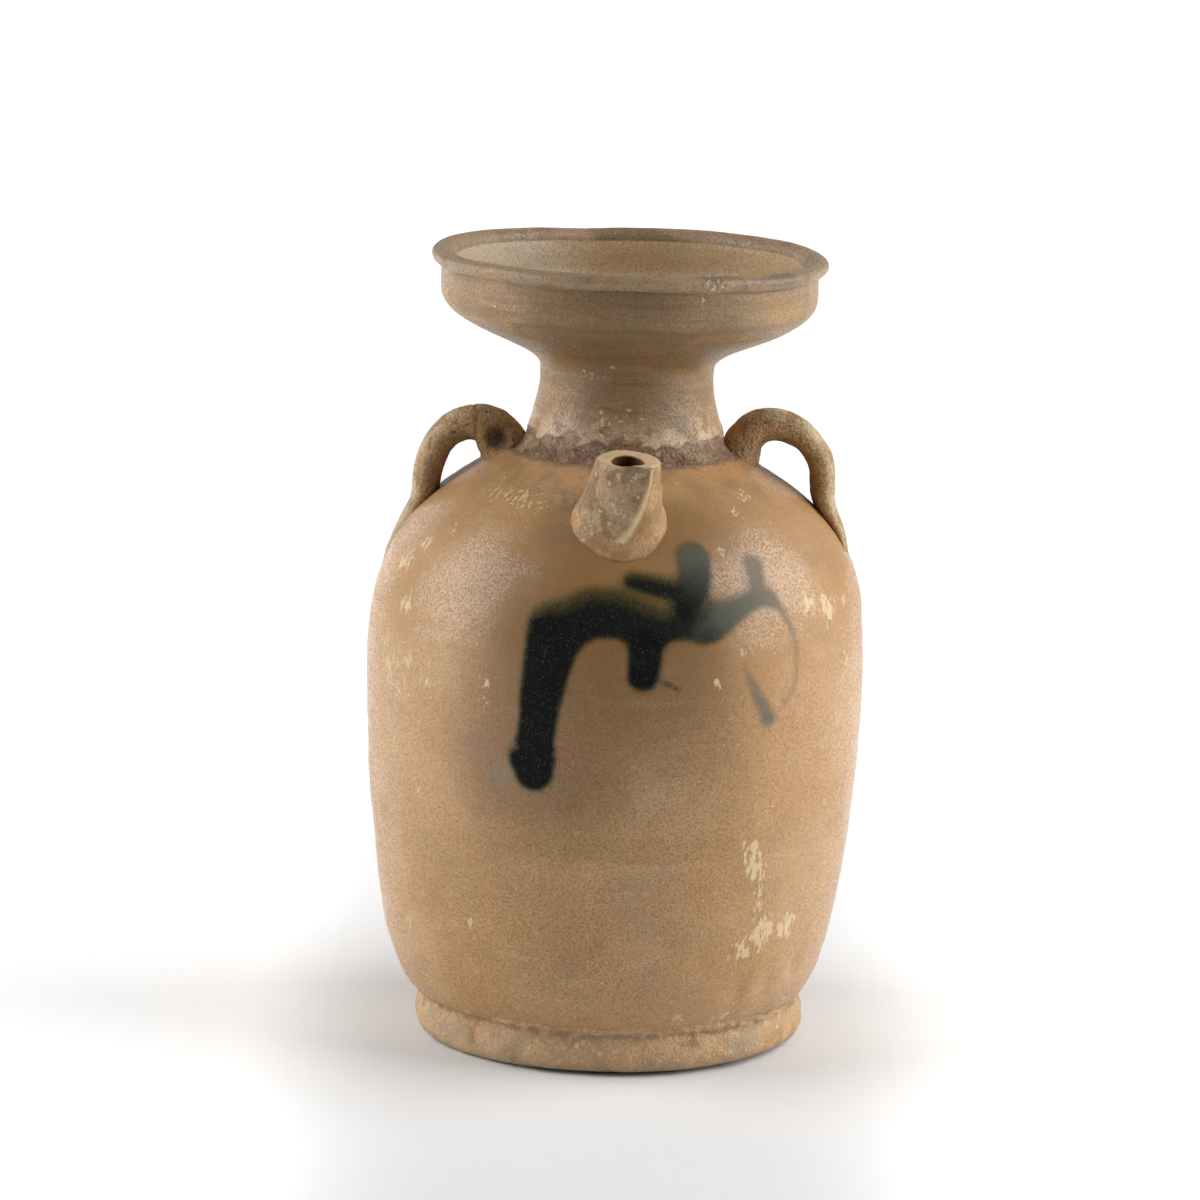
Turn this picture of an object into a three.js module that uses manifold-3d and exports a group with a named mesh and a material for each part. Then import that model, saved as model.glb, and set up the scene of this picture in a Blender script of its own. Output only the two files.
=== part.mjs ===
// Stoneware ewer with a dish mouth, a short spout, two cord lugs and a strap handle.
// Every body of clay that was thrown, rolled or pulled by itself is one solid.
// Thrown pieces meet on flat rings. Pieces seated on a curved face keep a thin slip joint from it.
// Millimetres, +Z up, origin under the centre of the foot, spout towards -Y.
import * as THREE from "three";
import { mergeVertices } from "three/addons/utils/BufferGeometryUtils.js";
import Module from "manifold-3d";

const wasm = await Module();
wasm.setup();

// Fineness of the round shapes
const wheelSides = 48;
const spoutSides = 28;
const coilSides = 16;
const coilSteps = 18;

// Width of the slip joint at a curved seat
const slipJoint = 0.3;

// Foot disc
const footRadius = 54.2;
const footHeight = 11.5;
const footStandRadius = 49.5;
const footTopRadius = 51.5;
const footBulgeHeight = 5;
const recessRadius = 33;
const recessDepth = 2;

// Thrown body: a bowl curve up to the belly and a shoulder curve above it
const bodyWall = 5.5;
const floorThickness = 7;
const heelRadius = 50.5;
const heelSwellWidth = 15.5;
const bellyRadius = 69;
const bellyHeight = 90;
const bellyCurveLength = 18;
const seamHeight = 52;
const shoulderHeight = 63.5;
const shoulderCurveLength = 34;
const shoulderSlope = 30;
const shoulderSlopeLength = 40;

// Neck and the luting coil in its corner
const neckHeight = 24;
const neckWall = 5;
const neckRootRadius = 28.5;
const neckWaistRadius = 24.5;
const neckTopRadius = 25.2;
const neckWaistHeight = 15;
const coilWidth = 3;
const coilHeight = 6.5;
const coilEdgeHeight = 0.8;

// Dish mouth
const dishWall = 4;
const dishRadius = 52;
const dishFlareHeight = 20;
const dishFlareStartWidth = 2.3;
const dishFlareStartHeight = 5.5;
const dishCurveLength = 11;
const lipHeight = 8.1;
const lipRadius = 3.4;

// Spout, on an axis that leans out over the shoulder
const spoutLean = 35;
const spoutTurn = 1.6;
const spoutLength = 21.2;
const spoutRootRadius = 11;
const spoutTipRadius = 8.5;
const spoutBoreRadius = 4.7;
const spoutInset = 21;
const spoutMouthTilt = 6;
const facetTurn = 28;
const facetTilt = 11.5;
const facetTipDepth = 1.7;
const collarHeight = 4;
const collarWidth = 1.3;

// Cord lugs: a round coil that arches from the neck's root to the shoulder
const lugInnerGap = 0.8;
const lugOuterInset = 13;
const lugInnerDepth = 5;
const lugOuterDepth = 21;
const lugInnerHeight = 21.5;
const lugOuterHeight = 34;
const lugTopRadius = 4.6;
const lugInnerRadius = 5.4;
const lugOuterRadius = 4;
const lugFootRadius = 5.2;

// Strap handle at the back
const strapWidth = 21;
const strapThickness = 8;
const strapEndWidth = 26;
const strapTopInset = 7;
const strapTopDepth = 19.5;
const strapBowLength = 25;
const strapBowHeight = 6;
const strapFootInset = 9;
const strapFootDepth = 30;
const strapFootHeight = 37;

// Heights of the joints between the thrown pieces
const footTop = footHeight;
const seamLevel = footTop + seamHeight;
const bellyLevel = footTop + bellyHeight;
const shoulderTop = bellyLevel + shoulderHeight;
const neckTop = shoulderTop + neckHeight;
const dishWallStart = neckTop + dishFlareHeight;
const lipLevel = dishWallStart + lipHeight;
const rimTop = lipLevel + lipRadius;

// Distances from the pot's axis that follow from the sizes above
const shoulderTopRadius = neckRootRadius + coilWidth;
const spoutReach = bellyRadius - spoutInset;
const lugInnerReach = shoulderTopRadius + lugInnerGap;
const lugOuterReach = bellyRadius - lugOuterInset;
const strapTopReach = dishRadius - strapTopInset;
const strapFootReach = bellyRadius - strapFootInset;

const radians = THREE.MathUtils.degToRad;
const at = (radius, height) => new THREE.Vector2(radius, height);

// A closed geometry as a manifold solid
function solidOf(geometry) {
  const bare = new THREE.BufferGeometry();
  const loose = geometry.index ? geometry.toNonIndexed() : geometry;
  bare.setAttribute("position", loose.getAttribute("position"));
  const welded = mergeVertices(bare, 1e-4);
  const corners = welded.index.array;
  const kept = [];
  for (let i = 0; i < corners.length; i += 3) {
    const [a, b, c] = corners.slice(i, i + 3);
    if (a !== b && b !== c && c !== a) kept.push(a, b, c);
  }
  return new wasm.Manifold(
    new wasm.Mesh({
      numProp: 3,
      vertProperties: new Float32Array(welded.getAttribute("position").array),
      triVerts: new Uint32Array(kept),
    }),
  );
}

// A profile of (radius, height) points turned about the vertical axis
function turned(profile, sides = wheelSides) {
  const geometry = new THREE.LatheGeometry(profile, sides);
  return geometry.rotateX(Math.PI / 2);
}

// A ring whose profile does not touch the axis: the profile is closed on its first point
function turnedRing(profile, sides = wheelSides) {
  return turned([...profile, profile[0].clone()], sides);
}

// The points of an upward outline moved outwards, or inwards when the distance is negative
function moved(outline, distance) {
  return outline.map((point, i) => {
    const before = outline[Math.max(i - 1, 0)];
    const after = outline[Math.min(i + 1, outline.length - 1)];
    const along = after.clone().sub(before).normalize();
    return at(point.x + along.y * distance, point.y - along.x * distance);
  });
}

// The radius of an upward outline at one height
function radiusAt(outline, height) {
  const above = outline.findIndex((point) => point.y >= height);
  if (above === 0) return outline[0].x;
  if (above < 0) return outline[outline.length - 1].x;
  const low = outline[above - 1];
  const high = outline[above];
  const share = (height - low.y) / (high.y - low.y);
  return low.x + share * (high.x - low.x);
}

// The height of an outline that narrows upwards, at one radius
function heightAt(outline, radius) {
  const inside = outline.findIndex((point) => point.y > bellyLevel && point.x <= radius);
  const low = outline[inside - 1];
  const high = outline[inside];
  const share = (radius - low.x) / (high.x - low.x);
  return low.y + share * (high.y - low.y);
}

// The stretch of an upward outline between two heights
function stretch(outline, low, high) {
  const between = outline.filter((point) => point.y > low + 0.2 && point.y < high - 0.2);
  return [at(radiusAt(outline, low), low), ...between, at(radiusAt(outline, high), high)];
}

// The solid inside an upward outline, filled to the axis
function filled(outline) {
  const bottom = at(0, outline[0].y);
  const top = at(0, outline[outline.length - 1].y);
  return solidOf(turned([bottom, ...outline, top]));
}

// A coil or strap: elliptical sections along a curve that lies in one upright plane
// The section function gives the half thickness in that plane and the half width across it
function coil(curve, across, section) {
  const corners = [];
  for (let step = 0; step <= coilSteps; step += 1) {
    const t = step / coilSteps;
    const centre = curve.getPoint(t);
    const inPlane = new THREE.Vector3().crossVectors(across, curve.getTangent(t)).normalize();
    const [thick, wide] = section(t);
    for (let side = 0; side < coilSides; side += 1) {
      const turn = (2 * Math.PI * side) / coilSides;
      const corner = centre.clone();
      corner.addScaledVector(inPlane, thick * Math.cos(turn));
      corner.addScaledVector(across, wide * Math.sin(turn));
      corners.push(corner);
    }
  }
  const first = corners.push(curve.getPoint(0)) - 1;
  const last = corners.push(curve.getPoint(1)) - 1;
  const faces = [];
  for (let side = 0; side < coilSides; side += 1) {
    const next = (side + 1) % coilSides;
    for (let step = 0; step < coilSteps; step += 1) {
      const here = step * coilSides;
      const ahead = here + coilSides;
      faces.push(here + side, here + next, ahead + next);
      faces.push(here + side, ahead + next, ahead + side);
    }
    const end = coilSteps * coilSides;
    faces.push(first, next, side);
    faces.push(last, end + side, end + next);
  }
  const geometry = new THREE.BufferGeometry().setFromPoints(corners);
  geometry.setIndex(faces);
  return solidOf(geometry);
}

// Outline of the thrown body, from the heel up to the shoulder's flat ring
const bowlCurve = new THREE.CubicBezierCurve(
  at(heelRadius, footTop),
  at(heelRadius + heelSwellWidth, footTop),
  at(bellyRadius, bellyLevel - bellyCurveLength),
  at(bellyRadius, bellyLevel),
);
const slope = radians(shoulderSlope);
const shoulderCurve = new THREE.CubicBezierCurve(
  at(bellyRadius, bellyLevel),
  at(bellyRadius, bellyLevel + shoulderCurveLength),
  at(
    shoulderTopRadius + shoulderSlopeLength * Math.cos(slope),
    shoulderTop - shoulderSlopeLength * Math.sin(slope),
  ),
  at(shoulderTopRadius, shoulderTop),
);
const bodyOutline = [...bowlCurve.getPoints(9), ...shoulderCurve.getPoints(11).slice(1)];
const bodyInside = moved(bodyOutline, -bodyWall);

// Outline of the neck, a waisted curve between its root and the dish
const waistPull = 2 * neckWaistRadius - (neckRootRadius + neckTopRadius) / 2;
const neckCurve = new THREE.QuadraticBezierCurve(
  at(neckRootRadius, shoulderTop),
  at(waistPull, shoulderTop + neckWaistHeight),
  at(neckTopRadius, neckTop),
);
const neckOutline = neckCurve.getPoints(6);
const boreRootRadius = neckRootRadius - neckWall;

// Outline of the dish, from the neck's end to the start of its upright wall
const flareCurve = new THREE.CubicBezierCurve(
  at(neckTopRadius, neckTop),
  at(neckTopRadius + dishFlareStartWidth, neckTop + dishFlareStartHeight),
  at(dishRadius, dishWallStart - dishCurveLength),
  at(dishRadius, dishWallStart),
);
const flareOutline = flareCurve.getPoints(8);

// Foot disc
function footDisc() {
  const lower = new THREE.QuadraticBezierCurve(
    at(footStandRadius, 0),
    at(footRadius, 0),
    at(footRadius, footBulgeHeight),
  );
  const upper = new THREE.QuadraticBezierCurve(
    at(footRadius, footBulgeHeight),
    at(footRadius, footHeight),
    at(footTopRadius, footHeight),
  );
  const recess = [at(0, recessDepth), at(recessRadius, recessDepth), at(recessRadius + recessDepth, 0)];
  const edge = [...lower.getPoints(3), ...upper.getPoints(3).slice(1)];
  return solidOf(turned([...recess, ...edge, at(0, footHeight)]));
}

// Lower half of the body, with its floor
function lowerBody() {
  const floorLevel = footTop + floorThickness;
  const outside = stretch(bodyOutline, footTop, seamLevel);
  const inside = stretch(bodyInside, floorLevel, seamLevel).reverse();
  return solidOf(turned([at(0, footTop), ...outside, ...inside, at(0, floorLevel)]));
}

// Upper half of the body, up to the flat ring that carries the neck, pierced along the spout's axis
function upperBody() {
  const outside = stretch(bodyOutline, seamLevel, shoulderTop);
  const undersideLevel = bodyInside[bodyInside.length - 1].y;
  const inside = stretch(bodyInside, seamLevel, undersideLevel);
  const mouth = [at(boreRootRadius, shoulderTop), at(boreRootRadius, undersideLevel)];
  const shell = solidOf(turnedRing([...outside, ...mouth, ...inside.reverse()]));
  return shell.subtract(spoutPiercing());
}

// Neck
function neck() {
  const bore = neckOutline.map((point) => at(point.x - neckWall, point.y));
  return solidOf(turnedRing([...neckOutline, ...bore.reverse()]));
}

// Ring of clay smoothed into the corner between the neck and the shoulder
const coilTop = shoulderTop + coilHeight;
const coilSweep = new THREE.QuadraticBezierCurve(
  at(shoulderTopRadius, shoulderTop + coilEdgeHeight),
  at(neckRootRadius + 2 * slipJoint, shoulderTop + coilHeight / 4),
  at(radiusAt(neckOutline, coilTop) + 2 * slipJoint, coilTop),
);
const coilOutline = [at(shoulderTopRadius, shoulderTop), ...coilSweep.getPoints(4)];
function neckLutingCoil() {
  const seat = stretch(neckOutline, shoulderTop, coilTop);
  const inside = seat.map((point) => at(point.x + slipJoint, point.y));
  return solidOf(turnedRing([...coilOutline, ...inside.reverse()]));
}

// Dish mouth with its rolled lip
const lipCentre = at(dishRadius - dishWall + lipRadius, lipLevel);
const lipStart = -Math.acos((dishRadius - lipCentre.x) / lipRadius);
function lipPoints() {
  const roll = new THREE.EllipseCurve(
    lipCentre.x,
    lipCentre.y,
    lipRadius,
    lipRadius,
    lipStart,
    Math.PI,
  );
  return roll.getPoints(9);
}
function dishMouth() {
  const bowl = new THREE.CubicBezierCurve(
    at(dishRadius - dishWall, dishWallStart),
    at(dishRadius - dishWall, dishWallStart - dishCurveLength + dishWall),
    at(neckTopRadius + dishFlareStartWidth - dishWall, neckTop + dishFlareStartHeight + dishWall),
    at(neckTopRadius - neckWall, neckTop),
  );
  return solidOf(turnedRing([...flareOutline, ...lipPoints(), ...bowl.getPoints(7)]));
}

// Place a solid that was made about its own upright axis onto the spout's leaning axis
const spoutSeat = heightAt(bodyOutline, spoutReach);
function onSpoutAxis(solid) {
  const leaning = solid.rotate([spoutLean, 0, 0]).translate([0, -spoutReach, spoutSeat]);
  return leaning.rotate([0, 0, spoutTurn]);
}

// Radius of the spout at a distance along its axis from the shoulder
function spoutRadius(along) {
  return spoutRootRadius + ((spoutTipRadius - spoutRootRadius) * along) / spoutLength;
}

// The hole through the shoulder that feeds the spout
function spoutPiercing() {
  const depth = 2 * spoutRootRadius;
  const drill = new THREE.CylinderGeometry(spoutBoreRadius, spoutBoreRadius, 2 * depth, spoutSides);
  return onSpoutAxis(solidOf(drill.rotateX(Math.PI / 2)));
}

// The thrown body grown by the slip joint, which cuts the seats of the pieces luted onto it
const bodySeat = filled(moved(bodyOutline, slipJoint));

// Spout: a tapered tube with one knife-cut facet, its mouth cut nearly level
function spout() {
  const below = -spoutRootRadius;
  const above = spoutLength + spoutTipRadius;
  const tube = solidOf(
    turnedRing(
      [
        at(spoutRadius(below), below),
        at(spoutRadius(above), above),
        at(spoutBoreRadius, above),
        at(spoutBoreRadius, below),
      ],
      spoutSides,
    ),
  );
  const knife = 4 * spoutRootRadius;
  const facet = new THREE.BoxGeometry(knife, knife, knife);
  facet.translate(0, -knife / 2, 0);
  facet.rotateX(-radians(facetTilt));
  facet.translate(0, facetTipDepth - spoutTipRadius, spoutLength);
  facet.rotateZ(-radians(facetTurn));
  const mouth = new THREE.BoxGeometry(knife, knife, knife);
  mouth.translate(0, 0, knife / 2);
  mouth.rotateX(radians(spoutMouthTilt - spoutLean));
  mouth.translate(0, 0, spoutLength);
  const cut = tube.subtract(solidOf(facet)).subtract(solidOf(mouth));
  return onSpoutAxis(cut).subtract(bodySeat);
}

// Collar of clay pressed round the spout's root
function spoutLutingCoil() {
  const below = -spoutRootRadius;
  const bulge = new THREE.QuadraticBezierCurve(
    at(spoutRadius(0) + 2 * collarWidth, -collarHeight),
    at(spoutRadius(0) + collarWidth, collarHeight / 2),
    at(spoutRadius(collarHeight) + 2 * slipJoint, collarHeight),
  );
  const inside = [
    at(spoutRadius(collarHeight) + slipJoint, collarHeight),
    at(spoutRadius(below) + slipJoint, below),
  ];
  const foot = at(spoutRadius(below) + 2 * collarWidth, below);
  const ring = solidOf(turnedRing([foot, ...bulge.getPoints(5), ...inside], spoutSides));
  return onSpoutAxis(ring).subtract(bodySeat);
}

// Cord lug towards +X
const coilSeat = filled([...moved(coilOutline, slipJoint), at(radiusAt(neckOutline, coilTop), coilTop + 1)]);
const neckSeat = filled(moved(neckOutline, slipJoint));
function cordLug() {
  const inner = shoulderTop - lugInnerDepth;
  const outer = shoulderTop - lugOuterDepth;
  const arch = new THREE.CubicBezierCurve3(
    new THREE.Vector3(lugInnerReach, 0, inner),
    new THREE.Vector3(lugInnerReach, 0, inner + lugInnerHeight),
    new THREE.Vector3(lugOuterReach, 0, outer + lugOuterHeight),
    new THREE.Vector3(lugOuterReach, 0, outer),
  );
  const radii = [lugInnerRadius, lugTopRadius, lugOuterRadius, lugFootRadius];
  const thickness = new THREE.SplineCurve(radii.map((radius, i) => at(i, radius)));
  const section = (t) => {
    const radius = thickness.getPoint(t).y;
    return [radius, radius];
  };
  const raw = coil(arch, new THREE.Vector3(0, 1, 0), section);
  return raw.subtract(bodySeat).subtract(coilSeat).subtract(neckSeat);
}

// Strap handle from under the dish to the shoulder, at the back
function rearHandle() {
  const top = rimTop - strapTopDepth;
  const foot = shoulderTop - strapFootDepth;
  const bow = new THREE.CubicBezierCurve3(
    new THREE.Vector3(0, strapTopReach, top),
    new THREE.Vector3(0, strapTopReach + strapBowLength, top + strapBowHeight),
    new THREE.Vector3(0, bellyRadius - strapThickness / 2, foot + strapFootHeight),
    new THREE.Vector3(0, strapFootReach, foot),
  );
  const section = (t) => {
    const spread = Math.pow(2 * t - 1, 4);
    const width = strapWidth + (strapEndWidth - strapWidth) * spread;
    return [strapThickness / 2, width / 2];
  };
  const raw = coil(bow, new THREE.Vector3(-1, 0, 0), section);
  const dishOutline = [...flareOutline, at(dishRadius, lipLevel)];
  const dishSeat = filled(moved(dishOutline, slipJoint));
  return raw.subtract(bodySeat).subtract(dishSeat);
}

// Glaze and bare clay
const glazed = new THREE.MeshStandardMaterial({ name: "glaze", color: 0x8d6a45, roughness: 0.6 });
const bare = new THREE.MeshStandardMaterial({ name: "bare_clay", color: 0x6d5347, roughness: 0.9 });

const ewer = new THREE.Group();
ewer.name = "ewer";

// Add one finished solid to the assembly under its name
function add(name, solid, material) {
  const mesh = solid.getMesh();
  const geometry = new THREE.BufferGeometry();
  geometry.setAttribute("position", new THREE.BufferAttribute(mesh.vertProperties, mesh.numProp));
  geometry.setIndex(new THREE.BufferAttribute(mesh.triVerts, 1));
  geometry.computeVertexNormals();
  const part = new THREE.Mesh(geometry, material);
  part.name = name;
  ewer.add(part);
}

const lug = cordLug();
add("foot_disc", footDisc(), bare);
add("lower_body", lowerBody(), glazed);
add("upper_body", upperBody(), glazed);
add("neck_luting_coil", neckLutingCoil(), bare);
add("neck", neck(), glazed);
add("dish_mouth", dishMouth(), glazed);
add("spout", spout(), glazed);
add("spout_luting_coil", spoutLutingCoil(), glazed);
add("left_lug", lug.rotate([0, 0, 180]), glazed);
add("right_lug", lug, glazed);
add("rear_handle", rearHandle(), glazed);

export default ewer;
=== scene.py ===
# %% [markdown]
# # A stoneware ewer
# The ewer is thrown, rolled and pulled from clay in eleven pieces, luted together with slip, glazed and
# fired once. Each piece of the measured part is replaced here by a surface that shows the hand of the
# potter: uneven walls, a dipped rim, smeared lugs, a ragged edge of glaze and a poured dark splash.
# Lengths are in millimetres and become metres only when a mesh is made.

import itertools
import math

import bpy
import numpy as np
from mathutils import Matrix, Vector


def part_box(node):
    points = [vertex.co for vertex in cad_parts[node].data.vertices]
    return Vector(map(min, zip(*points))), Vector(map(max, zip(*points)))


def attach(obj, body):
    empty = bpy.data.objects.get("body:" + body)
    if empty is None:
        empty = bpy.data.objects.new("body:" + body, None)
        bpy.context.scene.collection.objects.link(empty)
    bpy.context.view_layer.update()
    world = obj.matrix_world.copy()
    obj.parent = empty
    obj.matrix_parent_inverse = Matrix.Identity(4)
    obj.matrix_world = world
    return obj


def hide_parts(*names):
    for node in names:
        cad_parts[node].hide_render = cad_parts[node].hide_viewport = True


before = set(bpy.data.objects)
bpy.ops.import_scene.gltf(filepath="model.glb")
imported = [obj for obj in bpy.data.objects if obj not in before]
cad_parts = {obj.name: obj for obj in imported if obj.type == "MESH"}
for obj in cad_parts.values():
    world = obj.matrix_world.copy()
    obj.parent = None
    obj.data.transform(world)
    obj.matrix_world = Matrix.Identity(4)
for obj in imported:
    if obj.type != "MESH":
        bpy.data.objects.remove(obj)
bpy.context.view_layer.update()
MM = 0.001


def corners(node):
    """Lowest and highest corner of a node of the part, in mm."""
    return [np.array(corner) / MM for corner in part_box(node)]


# %% [markdown]
# ## The camera
# The photograph was taken with a long lens from a little above the rim. The place, the tilt and the small
# roll of the camera come from fitting the pot's outline, so a piece that is right in the part is also right
# in the picture.

# %% Set up the camera
CAMERA_PLACE = (-4.67, -1525.0, 424.06)
CAMERA_PITCH = 11.2
CAMERA_ROLL = 1.767
LENS = 167.84
SENSOR = 36

camera_data = bpy.data.cameras.new("camera")
camera_data.sensor_fit = "HORIZONTAL"
camera_data.sensor_width = SENSOR
camera_data.lens = LENS
camera = bpy.data.objects.new("camera", camera_data)
bpy.context.scene.collection.objects.link(camera)
aim = Matrix.Rotation(math.radians(90 - CAMERA_PITCH), 4, "X")
roll = Matrix.Rotation(math.radians(CAMERA_ROLL), 4, "Z")
camera.matrix_world = Matrix.Translation(Vector(CAMERA_PLACE) * MM) @ aim @ roll
bpy.context.scene.camera = camera
print("camera", round(-CAMERA_PLACE[1]), "mm in front of the pot")

# %% [markdown]
# ## Curves
# A pot is a curve turned round an axis, and a lug is a round section carried along a curve. So the first
# helpers make curves: a Bezier curve from a few control points, a curve through given points, and the same
# curve again with evenly spaced points, which keeps the faces of a mesh close to square.


# %% Curves
def bezier(points, count=240):
    """Neighbouring control points are blended by t, from 0 to 1, again and again, until one is left."""
    t = np.linspace(0, 1, count)[:, None, None]
    level = np.repeat(np.asarray(points, float)[None], count, axis=0)
    while level.shape[1] > 1:
        level = level[:, :-1] * (1 - t) + level[:, 1:] * t
    return level[:, 0]


def through(points, count=240):
    """A smooth curve through all the points: between two a cubic, its slopes taken from the neighbours."""
    points = np.asarray(points, float)
    ends = np.vstack([2 * points[0] - points[1], points, 2 * points[-1] - points[-2]])
    place = np.linspace(0, len(points) - 1, count)
    first = np.clip(place.astype(int), 0, len(points) - 2)
    t = (place - first)[:, None]
    a, b, c, d = (ends[first + k] for k in range(4))
    return 0.5 * (2 * b + (c - a) * t + (2 * a - 5 * b + 4 * c - d) * t**2 + (3 * b - a - 3 * c + d) * t**3)


def evenly(path, step):
    """The same path with points one step apart: lengths along it are summed and cut into equal parts."""
    path = np.asarray(path, float)
    run = np.concatenate([[0], np.cumsum(np.linalg.norm(np.diff(path, axis=0), axis=1))])
    wanted = np.linspace(0, run[-1], max(2, int(round(run[-1] / step)) + 1))
    return np.column_stack([np.interp(wanted, run, path[:, k]) for k in range(path.shape[1])])


def chain(*paths):
    """Paths joined end to end, without the point that two neighbours share."""
    return np.vstack([paths[0]] + [path[1:] for path in paths[1:]])


def ease(value, start, end):
    """0 before the start, 1 after the end, and an S curve between them."""
    t = np.clip((value - start) / (end - start), 0, 1)
    return t * t * (3 - 2 * t)


def hill(value, middle, width):
    """A bell curve: 1 at the middle, about a third at one width from it."""
    return np.exp(-(((value - middle) / width) ** 2))


print("an arc of", len(evenly(bezier([(0, 0), (10, 0), (10, 10)]), 1.0)), "points")

# %% [markdown]
# ## Unevenness
# Fired clay is never quite true. A lattice of random numbers, blended smoothly, gives lumps of any size.
# The numbers come from whole-number arithmetic on the lattice place, so every run gives the same pot.


# %% Lumps
def lumps(points, size, seed):
    """Smooth noise, about -1 to 1: lattice corners hold numbers, and a point blends the eight round it."""
    place = np.asarray(points, float) / size + 7.31 * seed
    cell = np.floor(place).astype(np.int64)
    part = place - cell
    weight = part**3 * (part * (part * 6 - 15) + 10)
    total = np.zeros(place.shape[:-1])
    for corner in itertools.product((0, 1), repeat=3):
        spot = cell + np.array(corner)
        code = spot[..., 0] * 73856093 ^ spot[..., 1] * 19349663 ^ spot[..., 2] * 83492791 ^ seed * 2654435
        code = (code ^ (code >> 13)) * 1274126177 & 0x7FFFFFFF
        code = (code ^ (code >> 16)) & 0xFFFF
        share = np.prod(np.where(corner, weight, 1 - weight), axis=-1)
        total += share * (code / 32767.5 - 1)
    return total


def roughness_of(points, size, seed, layers=3):
    """Lumps of a size with smaller and weaker ones on top, each layer half as large and half as strong."""
    return sum(lumps(points, size / 2**k, seed + 31 * k) / 2**k for k in range(layers))


trial = np.random.default_rng(1).uniform(0, 90, (999, 3))
print("lumps reach", np.round(np.abs(lumps(trial, 5, 1)).max(), 2))

# %% [markdown]
# ## From a grid of points to a closed skin
# Every piece below is a grid: one direction runs round the piece and always closes on itself, the other runs
# along it. A tube or a wall with an inside closes in both directions, and a solid one is closed by a fan of
# triangles at each end. Numbers kept at the points, such as the distance to the splash, go along as
# attributes that a material can read.


# %% Closed skins
SHARP_ANGLE = 55


def skin(name, grid, tube=False, marks=None):
    """Rows of points are rings, joined by four-sided faces; a tube also joins its last row to its first."""
    rows, columns = grid.shape[:2]
    points = grid.reshape(-1, 3)
    row = np.arange(rows if tube else rows - 1)[:, None]
    column = np.arange(columns)[None]

    def spot(r, c):
        return (r % rows) * columns + c % columns

    sides = [spot(row, column), spot(row, column + 1), spot(row + 1, column + 1), spot(row + 1, column)]
    loops = [np.stack(sides, -1).reshape(-1)]
    counts = [np.full(row.size * columns, 4)]
    if not tube:
        turn = np.arange(columns)
        first, last = np.full(columns, len(points)), np.full(columns, len(points) + 1)
        bottom = [first, spot(0, turn + 1), spot(0, turn)]
        top = [last, spot(rows - 1, turn), spot(rows - 1, turn + 1)]
        loops += [np.stack(fan, -1).reshape(-1) for fan in (bottom, top)]
        counts.append(np.full(2 * columns, 3))
        points = np.vstack([points, grid[0].mean(0), grid[-1].mean(0)])
    loops, counts = np.concatenate(loops), np.concatenate(counts)
    mesh = bpy.data.meshes.new(name)
    mesh.vertices.add(len(points))
    mesh.vertices.foreach_set("co", (points * MM).astype(np.float32).ravel())
    mesh.loops.add(len(loops))
    mesh.loops.foreach_set("vertex_index", loops.astype(np.int32))
    mesh.polygons.add(len(counts))
    mesh.polygons.foreach_set("loop_start", (np.cumsum(counts) - counts).astype(np.int32))
    mesh.update(calc_edges=True)
    mesh.shade_smooth()
    mesh.set_sharp_from_angle(angle=math.radians(SHARP_ANGLE))
    for mark, values in (marks or {}).items():
        values = np.broadcast_to(values, (rows, columns))
        ends = [] if tube else [values[0].mean(), values[-1].mean()]
        kept = np.concatenate([values.ravel(), ends]).astype(np.float32)
        mesh.attributes.new(mark, "FLOAT", "POINT").data.foreach_set("value", kept)
    return mesh


def stand_for(node, mesh, finish):
    """Puts a mesh in the scene as the piece that stands for a node of the part."""
    piece = bpy.data.objects.new(node + "_fired", mesh)
    mesh.materials.append(finish)
    bpy.context.scene.collection.objects.link(piece)
    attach(piece, "root")
    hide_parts(node)
    print(piece.name, "has", sum(len(face.vertices) - 2 for face in mesh.polygons), "triangles")
    return piece


# %% [markdown]
# ## Turning a profile
# A wheel makes a pot round, and here a profile goes round an axis. Blender's Screw modifier could turn it,
# but in an array the radius can also change with the angle, as it does under a hand. Angles are measured
# round the pot from its front, where the spout is, and grow towards the right-hand lug.


# %% Turned grids
def round_angles(columns):
    """The angles of the columns of a turned grid, as a single row."""
    return np.linspace(0, 2 * np.pi, columns, endpoint=False)[None]


def turned(profile, columns, swell=0):
    """Each profile point (radius, height) goes round the axis; swell, in mm, is added to the radius."""
    angle = round_angles(columns)
    radius = profile[:, :1] + swell
    height = np.repeat(profile[:, 1:], columns, axis=1)
    return np.stack([radius * np.sin(angle), -radius * np.cos(angle), height], -1)


def spread(angle):
    """The same angles between -180 and 180 degrees, 0 at the front."""
    return (np.degrees(angle) + 180) % 360 - 180


print("the front is at", spread(0.0), "degrees and the right-hand lug at", spread(np.pi / 2))


# %% [markdown]
# ## Materials
# A finish is a tree of nodes. It could be wired by hand in the editor, but written out here it can be read
# from top to bottom. A small class wraps the output of a node, so that a sum of two outputs is written as a
# sum. Everything else is made by its one node method, which takes the type of node, its settings and then
# its sockets.


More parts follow.
